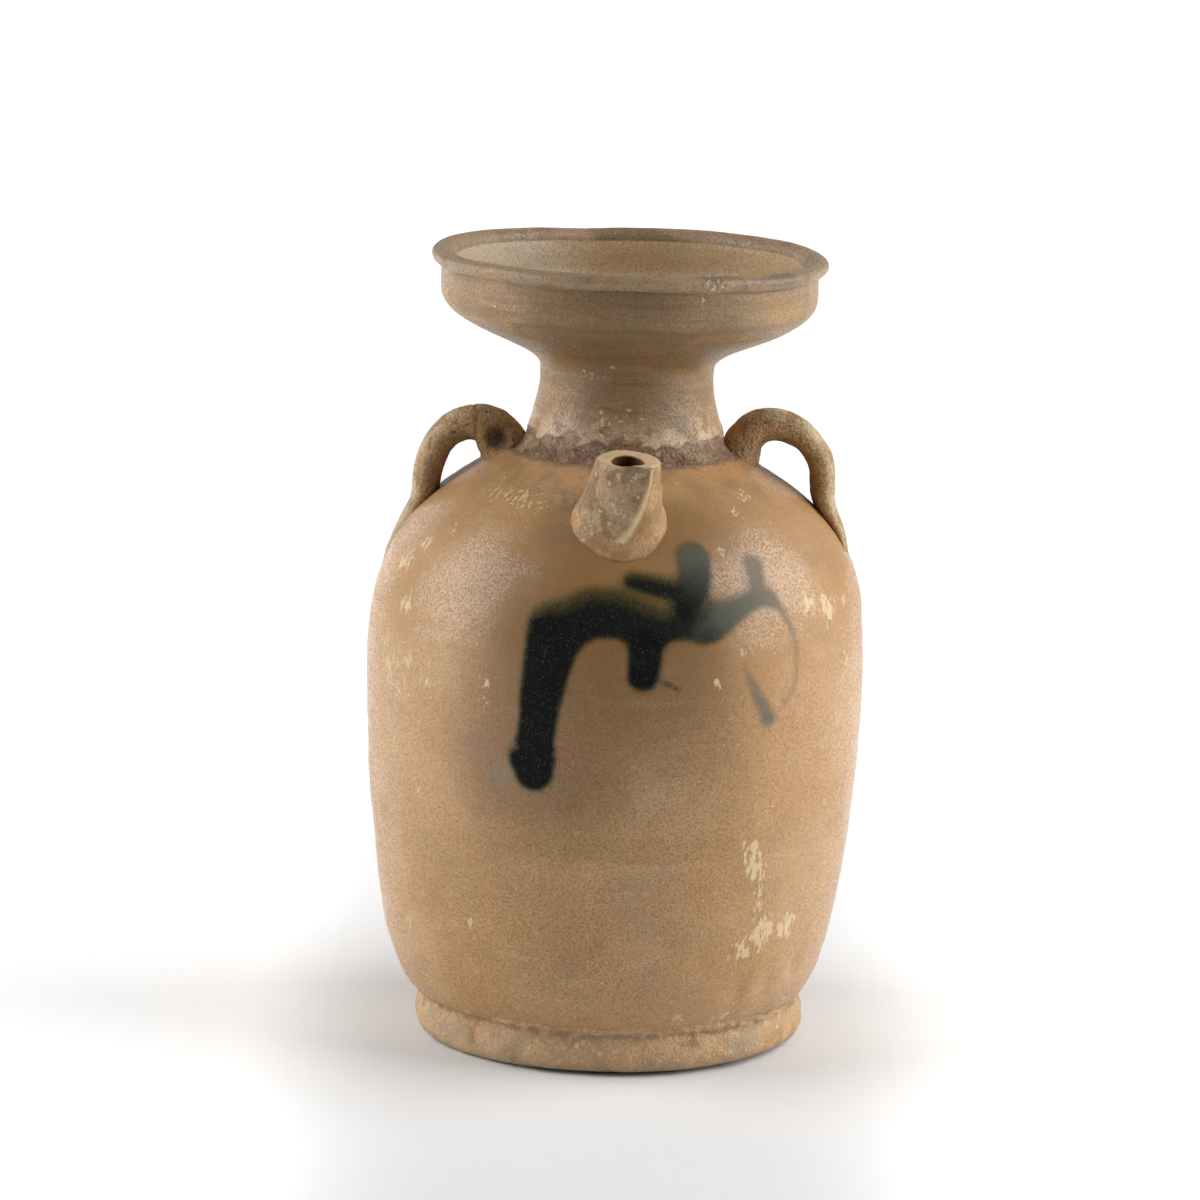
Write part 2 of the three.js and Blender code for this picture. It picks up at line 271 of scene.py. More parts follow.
# %% Node sums
class Wire:
    """One output of a material's nodes; sums, products and powers of wires add Math nodes."""

    def __init__(self, tree, socket=None):
        self.tree = tree
        self.socket = socket

    def node(self, kind, settings=None, sockets=None, out=0):
        """Adds a node, sets its settings (a ramp's stops too), then gives each socket a number or a wire."""
        made = self.tree.nodes.new("ShaderNode" + kind)
        for name, value in (settings or {}).items():
            setattr(made, name, value)
        for name, value in (sockets or {}).items():
            if isinstance(value, Wire):
                self.tree.links.new(value.socket, made.inputs[name])
            else:
                made.inputs[name].default_value = value
        return Wire(self.tree, made.outputs[out] if made.outputs else None)

    def sum(self, operation, first, second):
        return self.node("Math", {"operation": operation}, {0: first, 1: second})

    def __add__(self, other):
        return self.sum("ADD", self, other)

    def __sub__(self, other):
        return self.sum("SUBTRACT", self, other)

    def __rsub__(self, other):
        return self.sum("SUBTRACT", other, self)

    def __mul__(self, other):
        return self.sum("MULTIPLY", self, other)

    def __truediv__(self, other):
        return self.sum("DIVIDE", self, other)

    def larger(self, other):
        return self.sum("MAXIMUM", self, other)

    __radd__ = __add__
    __rmul__ = __mul__


# %% Patterns and colours
def new_finish(name):
    """An empty material and the Object coordinates that its patterns read."""
    finish = bpy.data.materials.new(name)
    finish.use_nodes = True
    finish.node_tree.nodes.clear()
    return finish, Wire(finish.node_tree).node("TexCoord", out="Object")


def cloud(place, size, seed, detail=3.0, stretch=(1, 1, 1)):
    """Soft noise, 0 to 1, with blotches of a size in mm; a stretch below 1 draws them out along that axis."""
    placed = {"Vector": place, "Location": (1.3 * seed, 2.1 * seed, 0.7 * seed), "Scale": stretch}
    noise = {"Vector": place.node("Mapping", {}, placed), "Scale": 1 / (size * MM), "Detail": detail}
    return place.node("TexNoise", {}, {**noise, "Roughness": 0.55})


def between(value, low, high):
    """0 at low, 1 at high, and an S curve between; low may be the larger of the two."""
    limits = {"Value": value, "From Min": low, "From Max": high}
    return value.node("MapRange", {"interpolation_type": "SMOOTHSTEP"}, limits)


def blotch(place, size, seed, detail, low, high):
    """Soft patches of noise of a size in mm: 0 where it is below low, 1 above high."""
    return between(cloud(place, size, seed, detail), low, high)


def tint(base, over, cover):
    """One colour laid over another as far as the cover says."""
    return cover.node("Mix", {"data_type": "RGBA"}, {0: cover, 6: base, 7: over}, out=2)


def shade(colour, value):
    """A colour made darker or lighter by a value."""
    settings = {"data_type": "RGBA", "blend_type": "MULTIPLY"}
    return value.node("Mix", settings, {0: 1.0, 6: colour, 7: value}, out=2)


def mark(place, name):
    """A number that the mesh keeps at its points."""
    return place.node("Attribute", {"attribute_name": name, "attribute_type": "GEOMETRY"}, {}, out="Fac")


def mm_along(place, axis):
    """How far a point lies along an axis, in mm."""
    return place.node("SeparateXYZ", {}, {"Vector": place}, out=axis) / MM


def surface_of(colour, roughness, height, bump_mm, gloss=0.5):
    """A surface shader: colour, roughness and a bump of some mm from a height."""
    normal = height.node("Bump", {}, {"Strength": 1.0, "Distance": bump_mm * MM, "Height": height})
    sockets = {"Base Color": colour, "Roughness": roughness, "Normal": normal, "Specular IOR Level": gloss}
    return height.node("BsdfPrincipled", {}, sockets)


def fire(finish, surface):
    """Ends a material: its surface shader goes to the output."""
    surface.node("OutputMaterial", {}, {"Surface": surface})
    return finish


# %% [markdown]
# ## The thrown body
# The potter threw the body as two bowls and joined them rim to rim. Its outline is two Bezier curves that
# meet at the belly, and one function of angle and height makes the wall uneven, so that the two halves
# still meet at their seam: a slow oval wander, faint throwing rings, small lumps and a few dents.

# %% The outline of the body
WALL = 5.5
FLOOR = 7.0
BODY_COLUMNS = 448
HEEL_RADIUS = 50.5
foot_top = corners("foot_disc")[1][2]
seam = corners("lower_body")[1][2]
shoulder_top = corners("upper_body")[1][2]
belly = corners("upper_body")[1][0]
BELLY_HEIGHT = 101.5
SHOULDER_RADIUS = 31.5
MOUTH_HOLE = 23.5

bowl = bezier([(HEEL_RADIUS, foot_top), (66, foot_top), (belly, 83.5), (belly, BELLY_HEIGHT)])
shoulder = bezier([(belly, BELLY_HEIGHT), (belly, 135.5), (66.14, 145), (SHOULDER_RADIUS, shoulder_top)])
outline = chain(bowl, shoulder)


def body_radius(height):
    """The true radius of the body's outside at a height, from the outline."""
    return np.interp(height, outline[:, 1], outline[:, 0])


def body_inside(step):
    """The outline moved inwards by the wall along its own normal, from the mouth down to the floor."""
    along = np.gradient(outline, axis=0)
    normal = np.column_stack([along[:, 1], -along[:, 0]]) / np.linalg.norm(along, axis=1)[:, None]
    moved = (outline - WALL * normal)[::-1]
    return evenly(moved[(moved[:, 0] > MOUTH_HOLE - 0.01) & (moved[:, 1] > foot_top + FLOOR)], step)


print("belly", round(belly, 1), "mm in radius, seam at", round(seam, 1), "mm")

# %% The hand of the potter
DENTS = [
    # angle from the front in degrees, height, size and depth in mm
    (58.1, 27.7, 3.4, 0.9),
    (46.5, 24.2, 3.8, 0.8),
    (36.3, 23.0, 3.2, 0.7),
    (23.7, 35.0, 4.6, 0.5),
    (-85.0, 36.0, 4.0, 0.7),
    (-40.0, 30.0, 5.0, 0.35),
    (132.0, 52.0, 6.0, 0.6),
    (-150.0, 90.0, 9.0, 0.5),
    (-90.0, 134.0, 11.0, 1.2),
    (-90.0, 53.0, 11.0, 1.0),
    (-88.0, 18.0, 7.0, 1.9),
    (90.0, 154.0, 9.0, -0.7),
    (-90.0, 154.0, 9.0, 0.4),
]
print(len(DENTS), "dents and swellings in the wall")


def body_swell(angle, height):
    """Wander of the wall in mm: lumps of three sizes, throwing rings and dents, fading out at both ends."""
    points = np.stack(np.broadcast_arrays(belly * np.sin(angle), -belly * np.cos(angle), height), -1)
    rings = np.stack(np.broadcast_arrays(9 * np.sin(angle), -9 * np.cos(angle), height), -1)
    swell = 0.40 * lumps(points, 40, 3) + 0.14 * lumps(points, 12, 4) + 0.05 * lumps(points, 3.6, 5)
    swell = swell + 0.13 * lumps(rings, 5.0, 6) + 0.05 * lumps(rings, 2.1, 7)
    for dent_angle, dent_height, size, depth in DENTS:
        across = np.radians(spread(angle - np.radians(dent_angle))) * belly
        swell = swell - depth * np.exp(-(across**2 + (height - dent_height) ** 2) / size**2)
    return swell * ease(height, foot_top - 2, foot_top + 9) * ease(height, shoulder_top, shoulder_top - 9)


# %% [markdown]
# ## The splash and the weathering
# An iron-brown splash was poured over the front of the shoulder and ran down in a few legs. It is drawn as
# strokes: chains of balls that grow or shrink from mark to mark, each mark given by its angle, its height and
# half its width. The distance to the nearest stroke is kept at every point of the body, which gives a
# crisp edge from a coarse grid. Chalky crust and stains are kept in the same way.

# %% Strokes of the splash
SPLASH = [
    # marks, grey at start and end, depth of the thin upper and lower edge in mm
    ([(-17.9, 87.8, 5.6), (-18.3, 91.4, 6.8), (-17.6, 97.0, 5.5), (-17.1, 102.5, 5.5), (-16.5, 109.9, 6.2),
      (-15.5, 116.9, 6.7), (-14.4, 123.5, 6.9), (-10.4, 128.9, 6.8), (-5.8, 131.6, 7.0), (-0.5, 131.7, 6.8),
      (4.9, 129.9, 6.2), (10.2, 128.7, 5.0), (15.6, 129.8, 4.5), (19.8, 130.0, 4.7)], 0.0, 0.15, 5.4, 0.9),
    ([(-15.2, 127.8, 6.2), (-14.8, 122.0, 6.0)], 0.0, 0.0, 4.6, 0.9),
    ([(6.9, 126.5, 5.0), (6.6, 120.5, 4.6), (6.2, 115.4, 4.3)], 0.0, 0.0, 1.0, 0.9),
    ([(20.0, 145.6, 4.7), (19.6, 141.4, 4.8), (18.0, 136.5, 4.7), (16.2, 131.4, 5.0)], 0.7, 0.0, 2.4, 1.4),
    ([(19.8, 129.2, 4.8), (25.0, 130.6, 4.5), (30.0, 133.2, 3.8), (35.1, 135.1, 3.2), (38.3, 134.6, 2.7)],
     0.5, 1.15, 2.6, 1.2),
    ([(36.6, 142.8, 3.9), (36.0, 138.6, 3.6), (35.5, 135.4, 3.0)], 1.3, 1.05, 2.2, 2.0),
    ([(38.3, 134.6, 2.4), (41.5, 130.8, 1.6), (43.9, 125.4, 1.1), (45.1, 119.5, 0.8), (45.1, 113.2, 0.7),
      (43.9, 108.7, 0.6), (41.8, 105.4, 0.7)], 1.15, 1.8, 1.6, 1.6),
    ([(3.8, 139.8, 2.9), (8.4, 138.8, 3.3), (13.8, 137.4, 3.3)], 0.12, 0.1, 3.2, 1.4),
    ([(20.6, 126.4, 2.4), (22.4, 127.0, 2.6)], 0.25, 0.35, 1.2, 1.2),
    ([(30.2, 116.3, 0.8), (33.2, 109.6, 2.1), (36.9, 102.0, 2.9)], 1.55, 1.2, 1.8, 1.8),
    ([(11.4, 113.4, 0.15), (14.4, 111.4, 0.15)], 0.0, 0.0, 0.4, 0.4),
]
FLOW = 1.1
print(len(SPLASH), "strokes in the splash")


def on_body(angle, height):
    """The point of the true body at an angle in degrees from the front and a height."""
    radius = body_radius(height)
    return np.stack([radius * np.sin(np.radians(angle)), -radius * np.cos(np.radians(angle)), height], -1)


def stroke_marks(points):
    """For each point the signed distance to the strokes (inside is negative), the depth of their thin edge
    and their grey. Strokes that meet flow into each other: each counts by e to the power of minus its
    distance over FLOW."""
    weight, soft, grey = (np.zeros(points.shape[:-1]) for _ in range(3))
    for marks, grey_start, grey_end, soft_above, soft_below in SPLASH:
        marks = np.array(marks)
        centres, widths = on_body(marks[:, 0], marks[:, 1]), marks[:, 2]
        own, own_soft, own_grey = (np.full(points.shape[:-1], start) for start in (30.0, 1.0, 0.0))
        for k in range(len(marks) - 1):
            step = centres[k + 1] - centres[k]
            t = np.clip((points - centres[k]) @ step / (step @ step), 0, 1)
            away = points - (centres[k] + t[..., None] * step)
            length = np.linalg.norm(away, axis=-1)
            gap = length - (widths[k] + t * (widths[k + 1] - widths[k]))
            closer = gap < own
            above = ease(away[..., 2] / (length + 0.5), 0.05, 0.7)
            own = np.where(closer, gap, own)
            own_soft = np.where(closer, soft_below + (soft_above - soft_below) * above, own_soft)
            way = (k + t) / (len(marks) - 1)
            own_grey = np.where(closer, grey_start + (grey_end - grey_start) * way, own_grey)
        share = np.exp(-own / FLOW)
        weight, soft, grey = weight + share, soft + share * own_soft, grey + share * own_grey
    return -FLOW * np.log(weight), soft / weight, grey / weight


# %% Patches of crust and stains
CRUST = [
    # angle from the front in degrees, height and size in mm, strength
    (34.9, 65.0, 4.4, 1.2), (36.4, 59.5, 4.6, 1.2), (38.5, 53.5, 2.6, 0.9), (39.1, 49.1, 3.2, 0.95),
    (35.5, 37.0, 5.6, 1.1), (41.0, 41.0, 6.8, 1.2), (48.9, 41.0, 6.2, 1.2), (50.6, 131.2, 4.2, 1.2),
    (58.4, 128.6, 5.4, 1.25), (67.3, 129.3, 2.4, 0.9), (66.0, 113.3, 3.6, 0.95), (70.0, 100.0, 4.0, 0.7),
    (-53.0, 147.0, 4.2, 0.74), (-60.0, 142.0, 4.6, 0.8), (-65.1, 136.9, 4.8, 1.08), (-69.0, 130.5, 4.4, 0.8),
    (-57.7, 126.5, 5.0, 1.0), (-72.0, 120.0, 5.0, 0.8), (-67.7, 114.8, 6.0, 0.8), (-63.3, 108.5, 7.0, 0.78),
    (-56.0, 111.4, 7.0, 0.72), (-57.7, 101.7, 7.0, 0.72), (-48.0, 108.0, 8.0, 0.66), (-46.1, 157.6, 9.0, 0.7),
    (-36.0, 156.8, 8.0, 0.8), (-27.0, 155.5, 5.4, 0.66), (-29.5, 110.0, 3.4, 0.98), (-30.5, 105.0, 3.0, 0.8),
    (-60.0, 88.0, 3.0, 0.8), (-50.0, 78.0, 4.0, 0.75), (-8.0, 72.0, 2.4, 0.85), (-35.0, 42.0, 3.4, 0.8),
    (-58.0, 38.0, 3.6, 0.8), (20.0, 16.5, 5.0, 0.7), (33.0, 15.0, 6.0, 0.9), (45.0, 15.5, 5.0, 0.8),
    (28.0, 146.5, 2.6, 0.9), (50.0, 158.0, 4.0, 0.8), (40.0, 155.0, 5.0, 0.75), (23.4, 112.4, 2.6, 0.85),
    (30.0, 120.0, 5.0, 0.66), (120.0, 70.0, 9.0, 0.85), (128.0, 58.0, 6.0, 0.9),
    (112.0, 48.0, 5.0, 0.8), (-120.0, 45.0, 8.0, 0.85), (-128.0, 60.0, 6.0, 0.8), (160.0, 120.0, 9.0, 0.75),
    (-140.0, 140.0, 9.0, 0.75), (172.0, 40.0, 7.0, 0.8), (-160.0, 75.0, 6.0, 0.7), (95.0, 140.0, 7.0, 0.75),
]
STAINS = [
    # the same for stains
    (-26.0, 85.6, 4.4, 0.8), (-31.7, 92.1, 5.2, 0.5), (-19.5, 156.4, 6.0, 0.75), (-17.6, 150.0, 5.0, 0.55),
    (-26.1, 64.6, 3.6, 0.3), (-22.4, 55.2, 6.2, 0.25), (-9.4, 33.6, 4.6, 0.35), (11.2, 29.8, 4.6, 0.3),
    (7.5, 51.8, 10.8, 0.22), (14.7, 60.2, 1.5, 0.6), (12.7, 62.2, 1.2, 0.6), (-2.1, 39.4, 1.5, 0.6),
    (-31.2, 75.5, 1.5, 0.5), (-14.3, 76.0, 1.3, 0.5), (-6.9, 72.8, 1.3, 0.5), (150.0, 60.0, 12.0, 0.3),
    (-130.0, 100.0, 14.0, 0.25),
]
print(len(CRUST), "patches of crust and", len(STAINS), "stains")


def patches(points, places, power):
    """The strongest of a set of soft round patches at each point; a patch is an angle, a height, a size and
    a strength, and a higher power makes it flatter in its middle and steeper at its edge."""
    strength = np.zeros(points.shape[:-1])
    for angle, height, size, weight in places:
        away = np.linalg.norm(points - on_body(angle, height), axis=-1)
        strength = np.maximum(strength, weight * np.exp(-((away / size) ** power)))
    return strength


def body_marks(profile, columns):
    """All the numbers that the body keeps at its points, worked out on the true body."""
    points = turned(profile, columns)
    splash, soft, grey = stroke_marks(points)
    height, radius = points[..., 2], np.hypot(points[..., 0], points[..., 1])
    bare = ease(radius, 34.2, 31.0) * (height > 150)
    return {
        "splash": splash,
        "splash_soft": soft,
        "splash_grey": grey,
        "crust": patches(points, CRUST, 2),
        "stain": patches(points, STAINS, 4),
        "bare": bare,
    }


# %% Two halves of the body
lower_curve = outline[outline[:, 1] <= seam]
lower_curve = np.vstack([lower_curve, [body_radius(seam), seam]])
upper_curve = np.vstack([[body_radius(seam), seam], outline[outline[:, 1] > seam]])
inside = body_inside(3.0)
inner_seam = [np.interp(seam, inside[::-1, 1], inside[::-1, 0]), seam]
print("the wall at the seam is", round(body_radius(seam) - inner_seam[0], 1), "mm thick")


def lower_half():
    """Profile from the middle of the base, out, up the wall to the seam, and down the inside to the floor."""
    base = evenly([(8, foot_top), (HEEL_RADIUS, foot_top)], 7)
    outer = evenly(lower_curve, 0.95)
    rest = evenly([lower_curve[-1], inner_seam], 2.0)
    inner = np.vstack([inner_seam, inside[inside[:, 1] < seam]])
    floor = evenly([inner[-1], (6, foot_top + FLOOR)], 6)
    return chain(base, outer, rest, inner, floor), slice(len(base) - 1, len(base) + len(outer) - 1)


def upper_half():
    """Profile from the seam up to the neck's seat, down the mouth hole and the inside, back to the seam."""
    outer = evenly(upper_curve, 0.95)
    seat = evenly([upper_curve[-1], (MOUTH_HOLE, shoulder_top)], 2.0)
    inner = inside[inside[:, 1] > seam]
    hole = evenly([(MOUTH_HOLE, shoulder_top), inner[0]], 2.0)
    rest = evenly([inner_seam, upper_curve[0]], 2.0)
    inner = np.vstack([inner, inner_seam])
    return chain(outer, seat, hole, inner, rest)[:-1], slice(0, len(outer))


def body_grid(profile, outer, columns):
    """The turned profile with the potter's unevenness on its outer rows alone."""
    swell = np.zeros((len(profile), columns))
    swell[outer] = body_swell(round_angles(columns), profile[outer, 1:])
    return turned(profile, columns, swell)


# %% [markdown]
# ## The tan glaze
# The glaze is a thin, dull tan with a sandy grain. It drifts between ochre, a pinkish buff and olive, carries
# pale and dark specks, and lies under chalky crust. The splash is laid in last: where it is thin it stains
# the glaze olive brown, and where it is thick it is almost black, or a blue grey where it ran off. All this
# could be painted on a picture and wrapped round the pot. Noise that is worked out at each place in space
# needs no unwrapping, shows no join where the halves meet, and stays sharp close up.

# %% Glaze colours
OCHRE = (0.41, 0.22, 0.082, 1)
BUFF = (0.485, 0.30, 0.155, 1)
OLIVE = (0.33, 0.2, 0.08, 1)
HONEY = (0.25, 0.132, 0.045, 1)
CREAM = (0.66, 0.515, 0.305, 1)
UMBER = (0.13, 0.068, 0.03, 1)
ASH = (0.22, 0.16, 0.105, 1)
SPLASH_THIN = (0.06, 0.047, 0.012, 1)
SPLASH_THICK = (0.0055, 0.006, 0.0062, 1)
SPLASH_GREY = (0.13, 0.128, 0.1, 1)
BARE_CLAY = (0.25, 0.155, 0.095, 1)
PURPLE_CLAY = (0.175, 0.108, 0.07, 1)
CRACKS_APART = 3.4


def glaze_ground(place):
    """Ochre, buff and olive in slow blotches, sandy with small dark pits and specks; gives the colour and
    the grain, which is 0 in a pit and 1 between pits."""
    colour = tint(OCHRE, BUFF, blotch(place, 34, 1, 3, 0.36, 0.66) * 0.6)
    colour = tint(colour, OLIVE, between(cloud(place, 17, 2, 4, (0.6, 0.6, 1.6)), 0.50, 0.72) * 0.5)
    grain = blotch(place, 0.6, 3, 3, 0.36, 0.58)
    colour = shade(colour, grain * 0.34 + 0.76)
    colour = tint(colour, CREAM, blotch(place, 1.1, 4, 2, 0.64, 0.73) * 0.5)
    colour = tint(colour, UMBER, blotch(place, 0.9, 5, 2, 0.65, 0.74) * 0.5)
    return colour, grain


def crusted(place, colour, amount, size=1.6, seed=8, stretch=(1, 1, 1)):
    """Chalky crust where its amount beats a rough noise; gives the colour and the cover."""
    flakes = cloud(place, size, seed, 6, stretch) * 2.0 - 0.5
    cover = between(amount + flakes, 1.0, 1.22)
    return tint(colour, CREAM, cover * 0.74), cover


# %% The splash and the seam
def splash_colour(place):
    """Black with pale specks and fine cracks, or grey where the splash ran thin."""
    grey = mark(place, "splash_grey")
    colour = tint(SPLASH_THICK, SPLASH_GREY, between(grey, 0.0, 1.0))
    specks = blotch(place, 0.5, 15, 1.5, 0.56, 0.76)
    cells = {"Vector": place, "Scale": 1 / (CRACKS_APART * MM)}
    edges = place.node("TexVoronoi", {"feature": "DISTANCE_TO_EDGE"}, cells)
    cracks = between(edges, 0.03, 0.006) * blotch(place, 5, 16, 3, 0.48, 0.62)
    return tint(colour, (0.15, 0.135, 0.09, 1), (specks * 0.34).larger(cracks * 0.1)), grey


def seam_tone(place):
    """A darker band that starts sharply at the seam of the halves and fades upwards, strongest in front."""
    height = mm_along(place, "Z") + cloud(place, 12, 17, 2) * 3.0
    band = between(height, seam + 1.0, seam + 2.2) * between(height, seam + 16.0, seam + 5.0)
    across = mm_along(place, "X")
    front = between(across, -40, -22) * between(across, 44, 26)
    return band * (blotch(place, 38, 18, 2, 0.36, 0.6) * 0.35).larger(front)


# %% The whole glaze of the body
def ring_clay(place, grain):
    """Bare, sandy, purple-brown clay, as it shows round the root of the neck."""
    return shade(tint(PURPLE_CLAY, BARE_CLAY, blotch(place, 3, 19, 4, 0.42, 0.6)), grain * 0.5 + 0.65)


def body_glaze():
    """The body's glaze: painted shade on its front, the splash, crust, stains, seam and bare ring under the
    neck.
    """
    finish, place = new_finish("tan_glaze")
    colour, grain = glaze_ground(place)
    away = mark(place, "splash") + cloud(place, 1.8, 10, 2) * 0.7 - 0.35
    across = mm_along(place, "X")
    high = mm_along(place, "Z")
    halo = between(away + cloud(place, 16, 14, 3) * 14 - 7, 29.0, 5.0) * between(across, 44, 20)
    colour = tint(colour, shade(HONEY, grain * 0.26 + 0.82), halo * 0.82)
    # Painted shade: the body's front, which the side lights reach least, is darkened.
    front = between(across, -46, -16) * between(across, 42, 16)
    painted_body_front_shade = front * between(high, 66, 86) * between(high, 150, 120)
    colour = shade(colour, 1 - painted_body_front_shade * 0.17)
    colour = tint(colour, shade((0.335, 0.185, 0.06, 1), grain * 0.4 + 0.72), seam_tone(place) * 0.6)
    colour = tint(colour, ASH, mark(place, "stain") * blotch(place, 2.2, 9, 4, 0.3, 0.6))
    # Dust on the shoulder below the neck.
    dirt_and_painted_shade = between(high, 151, 161) * blotch(place, 7, 20, 5, 0.44, 0.62)
    colour = tint(colour, (0.23, 0.15, 0.085, 1), dirt_and_painted_shade * 0.5)
    thick, grey = splash_colour(place)
    soft = mark(place, "splash_soft")
    edge = between(away, soft * 0.12 + 1.3, soft * -0.22 - 0.8)
    colour = tint(colour, SPLASH_THIN, edge * (1 - between(grey, 0.4, 1.2) * 0.7))
    poured = between(away, soft * -0.3 + 0.9, soft * -1 - 0.4) * (1 - between(grey, 0.6, 1.7) * 0.42)
    bare = between(mark(place, "bare") + cloud(place, 2.4, 12, 5) * 1.7 - 0.4, 0.7, 1.3)
    colour = tint(colour, ring_clay(place, grain), bare * 0.75)
    colour, cover = crusted(place, colour, mark(place, "crust") * 0.7, 1.25, 8, (1, 1, 0.45))
    roughness = cover * 0.2 + bare * 0.2 - grain * 0.34 + 0.56
    height = grain * 0.15 + cloud(place, 2.4, 13, 3) * 0.5 + cover * 0.6
    glaze = surface_of(colour, roughness, height, 0.11, 0.52)
    splash = surface_of(thick, grain * 0.2 + 0.45, height, 0.06, 0.06)
    return fire(finish, poured.node("MixShader", {}, {0: poured * (1 - cover), 1: glaze, 2: splash}))


# %% Make the body
tan_glaze = body_glaze()
for node, (profile, outer) in {"lower_body": lower_half(), "upper_body": upper_half()}.items():
    grid = body_grid(profile, outer, BODY_COLUMNS)
    mesh = skin(node, grid, node == "upper_body", body_marks(profile, BODY_COLUMNS))
    stand_for(node, mesh, tan_glaze)

# %% [markdown]
# ## The foot
# The foot is a thick disc of bare clay, trimmed roughly and rounded at its edge, with a shallow recess below.
# A cylinder with a bevel would look machined. So the foot is a turned profile too, pushed about by lumps,
# and scraped and smeared where a knife and a finger did that. Only its standing ring stays truly flat, so
# the pot stands firm.

# %% Make the foot
foot_radius = corners("foot_disc")[1][0]
STAND_RADIUS = 49.5
FOOT_BULGE = 5.0
FOOT_RECESS = 33.0
RECESS_DEPTH = 2.0
FOOT_SHIFT = 1.2
FOOT_EDGE = (53.0, 11.3)
FOOT_COLUMNS = 400


def foot_profile():
    """From the middle of the recess, under the standing ring, up the rounded edge and in over the top."""
    under = evenly([(5, RECESS_DEPTH), (FOOT_RECESS - 1.5, RECESS_DEPTH)], 5)
    step = evenly([(FOOT_RECESS - 1.5, RECESS_DEPTH), (FOOT_RECESS, 0)], 1)
    ring = evenly([(FOOT_RECESS, 0), (STAND_RADIUS, 0)], 3)
    low = evenly(bezier([(STAND_RADIUS, 0), (foot_radius, 0), (foot_radius, FOOT_BULGE)]), 0.5)
    high = evenly(bezier([(foot_radius, FOOT_BULGE), (foot_radius, 9.8), FOOT_EDGE]), 0.4)
    climb = evenly(bezier([FOOT_EDGE, (52.8, 12.2), (54.6, 13.6), (56.0, 15.6)]), 0.35)
    top = evenly([climb[-1], (46, foot_top), (10, foot_top)], 4)
    return chain(under, step, ring, low, high, climb, top)


def foot_grid(columns):
    """The turned foot, pushed about by rough lumps on its edge and moved a little sideways, flat where it
    stands. Its lower edge is scraped away from the front round to the right, and its clay is smeared up
    over the body's heel."""
    profile = foot_profile()
    grid = turned(profile, columns)
    angle = round_angles(columns)
    side = spread(angle)
    edge = ease(profile[:, :1], STAND_RADIUS - 1.5, foot_radius - 1.0)
    swell = 0.4 * lumps(grid, 16, 21) + 0.3 * lumps(grid, 5, 22) + 0.16 * lumps(grid, 1.8, 23)
    tall = grid[..., 2]
    swell = swell + 0.35 * hill(side, -95, 45) * ease(tall, 7.0, 3.0)
    smear = 0.3 + 0.7 * hill(side, 32, 24) + 0.35 * hill(side, -25, 30)
    smear = smear * (1.0 + 0.7 * lumps(grid, 2.6, 26))
    swell = swell + smear * ease(tall, 10.4, 12.4) * ease(tall, 15.4, 12.9)
    scraped = 0.85 * ease(side, -50, 0) * ease(side, 175, 130) + 0.35 * hill(side, 52, 16)
    radius = np.hypot(grid[..., 0], grid[..., 1]) + swell * edge
    rough = 0.6 * lumps(grid, 9, 24) + 0.5 * lumps(grid, 3, 25)
    height = tall + rough * edge * ease(tall, 1.0, 6.0)
    height = height + scraped * ease(radius, 45.5, 51.0) * ease(tall, 9.0, 2.0)
    moved = FOOT_SHIFT * ease(profile[:, :1], 30, STAND_RADIUS) * ease(profile[:, 1:], 13.6, 11.4)
    return np.stack([radius * np.sin(angle) + moved, -radius * np.cos(angle), np.maximum(height, 0)], -1)


# %% The clay of the foot
def foot_clay():
    """Rough buff clay: sandy grain, scrapes, a greyer bottom edge and painted shade in the crease under the
    body.
    """
    finish, place = new_finish("bare_foot_clay")
    colour = tint((0.53, 0.345, 0.19, 1), (0.44, 0.27, 0.14, 1), blotch(place, 12, 41, 5, 0.4, 0.65))
    colour = tint(colour, (0.42, 0.32, 0.215, 1), blotch(place, 9, 42, 4, 0.50, 0.66) * 0.6)
    grain = blotch(place, 0.7, 43, 2, 0.28, 0.72)
    colour = shade(colour, grain * 0.4 + 0.8)
    height = mm_along(place, "Z")
    low = between(height + cloud(place, 5, 47, 4) * 5.0, 6.4, 3.6)
    colour = tint(colour, (0.40, 0.325, 0.22, 1), low * 0.7)
    # Painted shade: a broken dark line in the crease where the foot meets the body.
    corner = height + cloud(place, 4, 48, 4) * 3.0
    painted_crease_shade = between(corner, 11.6, 12.9) * between(corner, 14.8, 13.4) * blotch(place, 3, 50, 5, 0.36, 0.6)
    colour = tint(colour, (0.2, 0.125, 0.075, 1), painted_crease_shade * 0.6)
    colour = tint(colour, (0.33, 0.27, 0.18, 1), blotch(place, 13, 38, 4, 0.54, 0.64) * 0.55)
    colour = tint(colour, (0.26, 0.14, 0.07, 1), blotch(place, 7, 39, 5, 0.60, 0.70) * 0.6)
    colour, cover = crusted(place, colour, blotch(place, 9, 44, 4, 0.45, 0.7) * 0.5, 2.2, 45)
    bumps = grain * 0.5 + cloud(place, 3.0, 46, 4) * 1.4 + cover * 0.5
    return fire(finish, surface_of(colour, grain * 0.15 + 0.64, bumps, 0.3, 0.3))


stand_for("foot_disc", skin("foot_disc", foot_grid(FOOT_COLUMNS)), foot_clay())

# %% [markdown]
# ## The neck, its luting coil and the dish mouth
# The neck stands on the shoulder inside a smoothed ring of bare clay, and its glaze ends above that ring in a
# ragged, slightly raised edge. The dish opens from the neck to a rolled lip. It dried a little crooked: its
# right side and its back hang lower, and the lip rises and falls. All three pieces are turned. The edge of
# the glaze is a step in the neck's shape and also a number kept at its points, so the colour changes just
# where the step is. An edge drawn by noise alone would miss it.

# %% Make the neck
neck_top = corners("neck")[1][2]
coil_top = corners("neck_luting_coil")[1][2]
NECK_ROOT = 28.7
NECK_TOP = 24.2
NECK_SHIFT = 0.85
NECK_WALL = 5.0
NECK_COLUMNS = 320
GLAZE_EDGE = 170.3
GLAZE_SKIN = 0.35

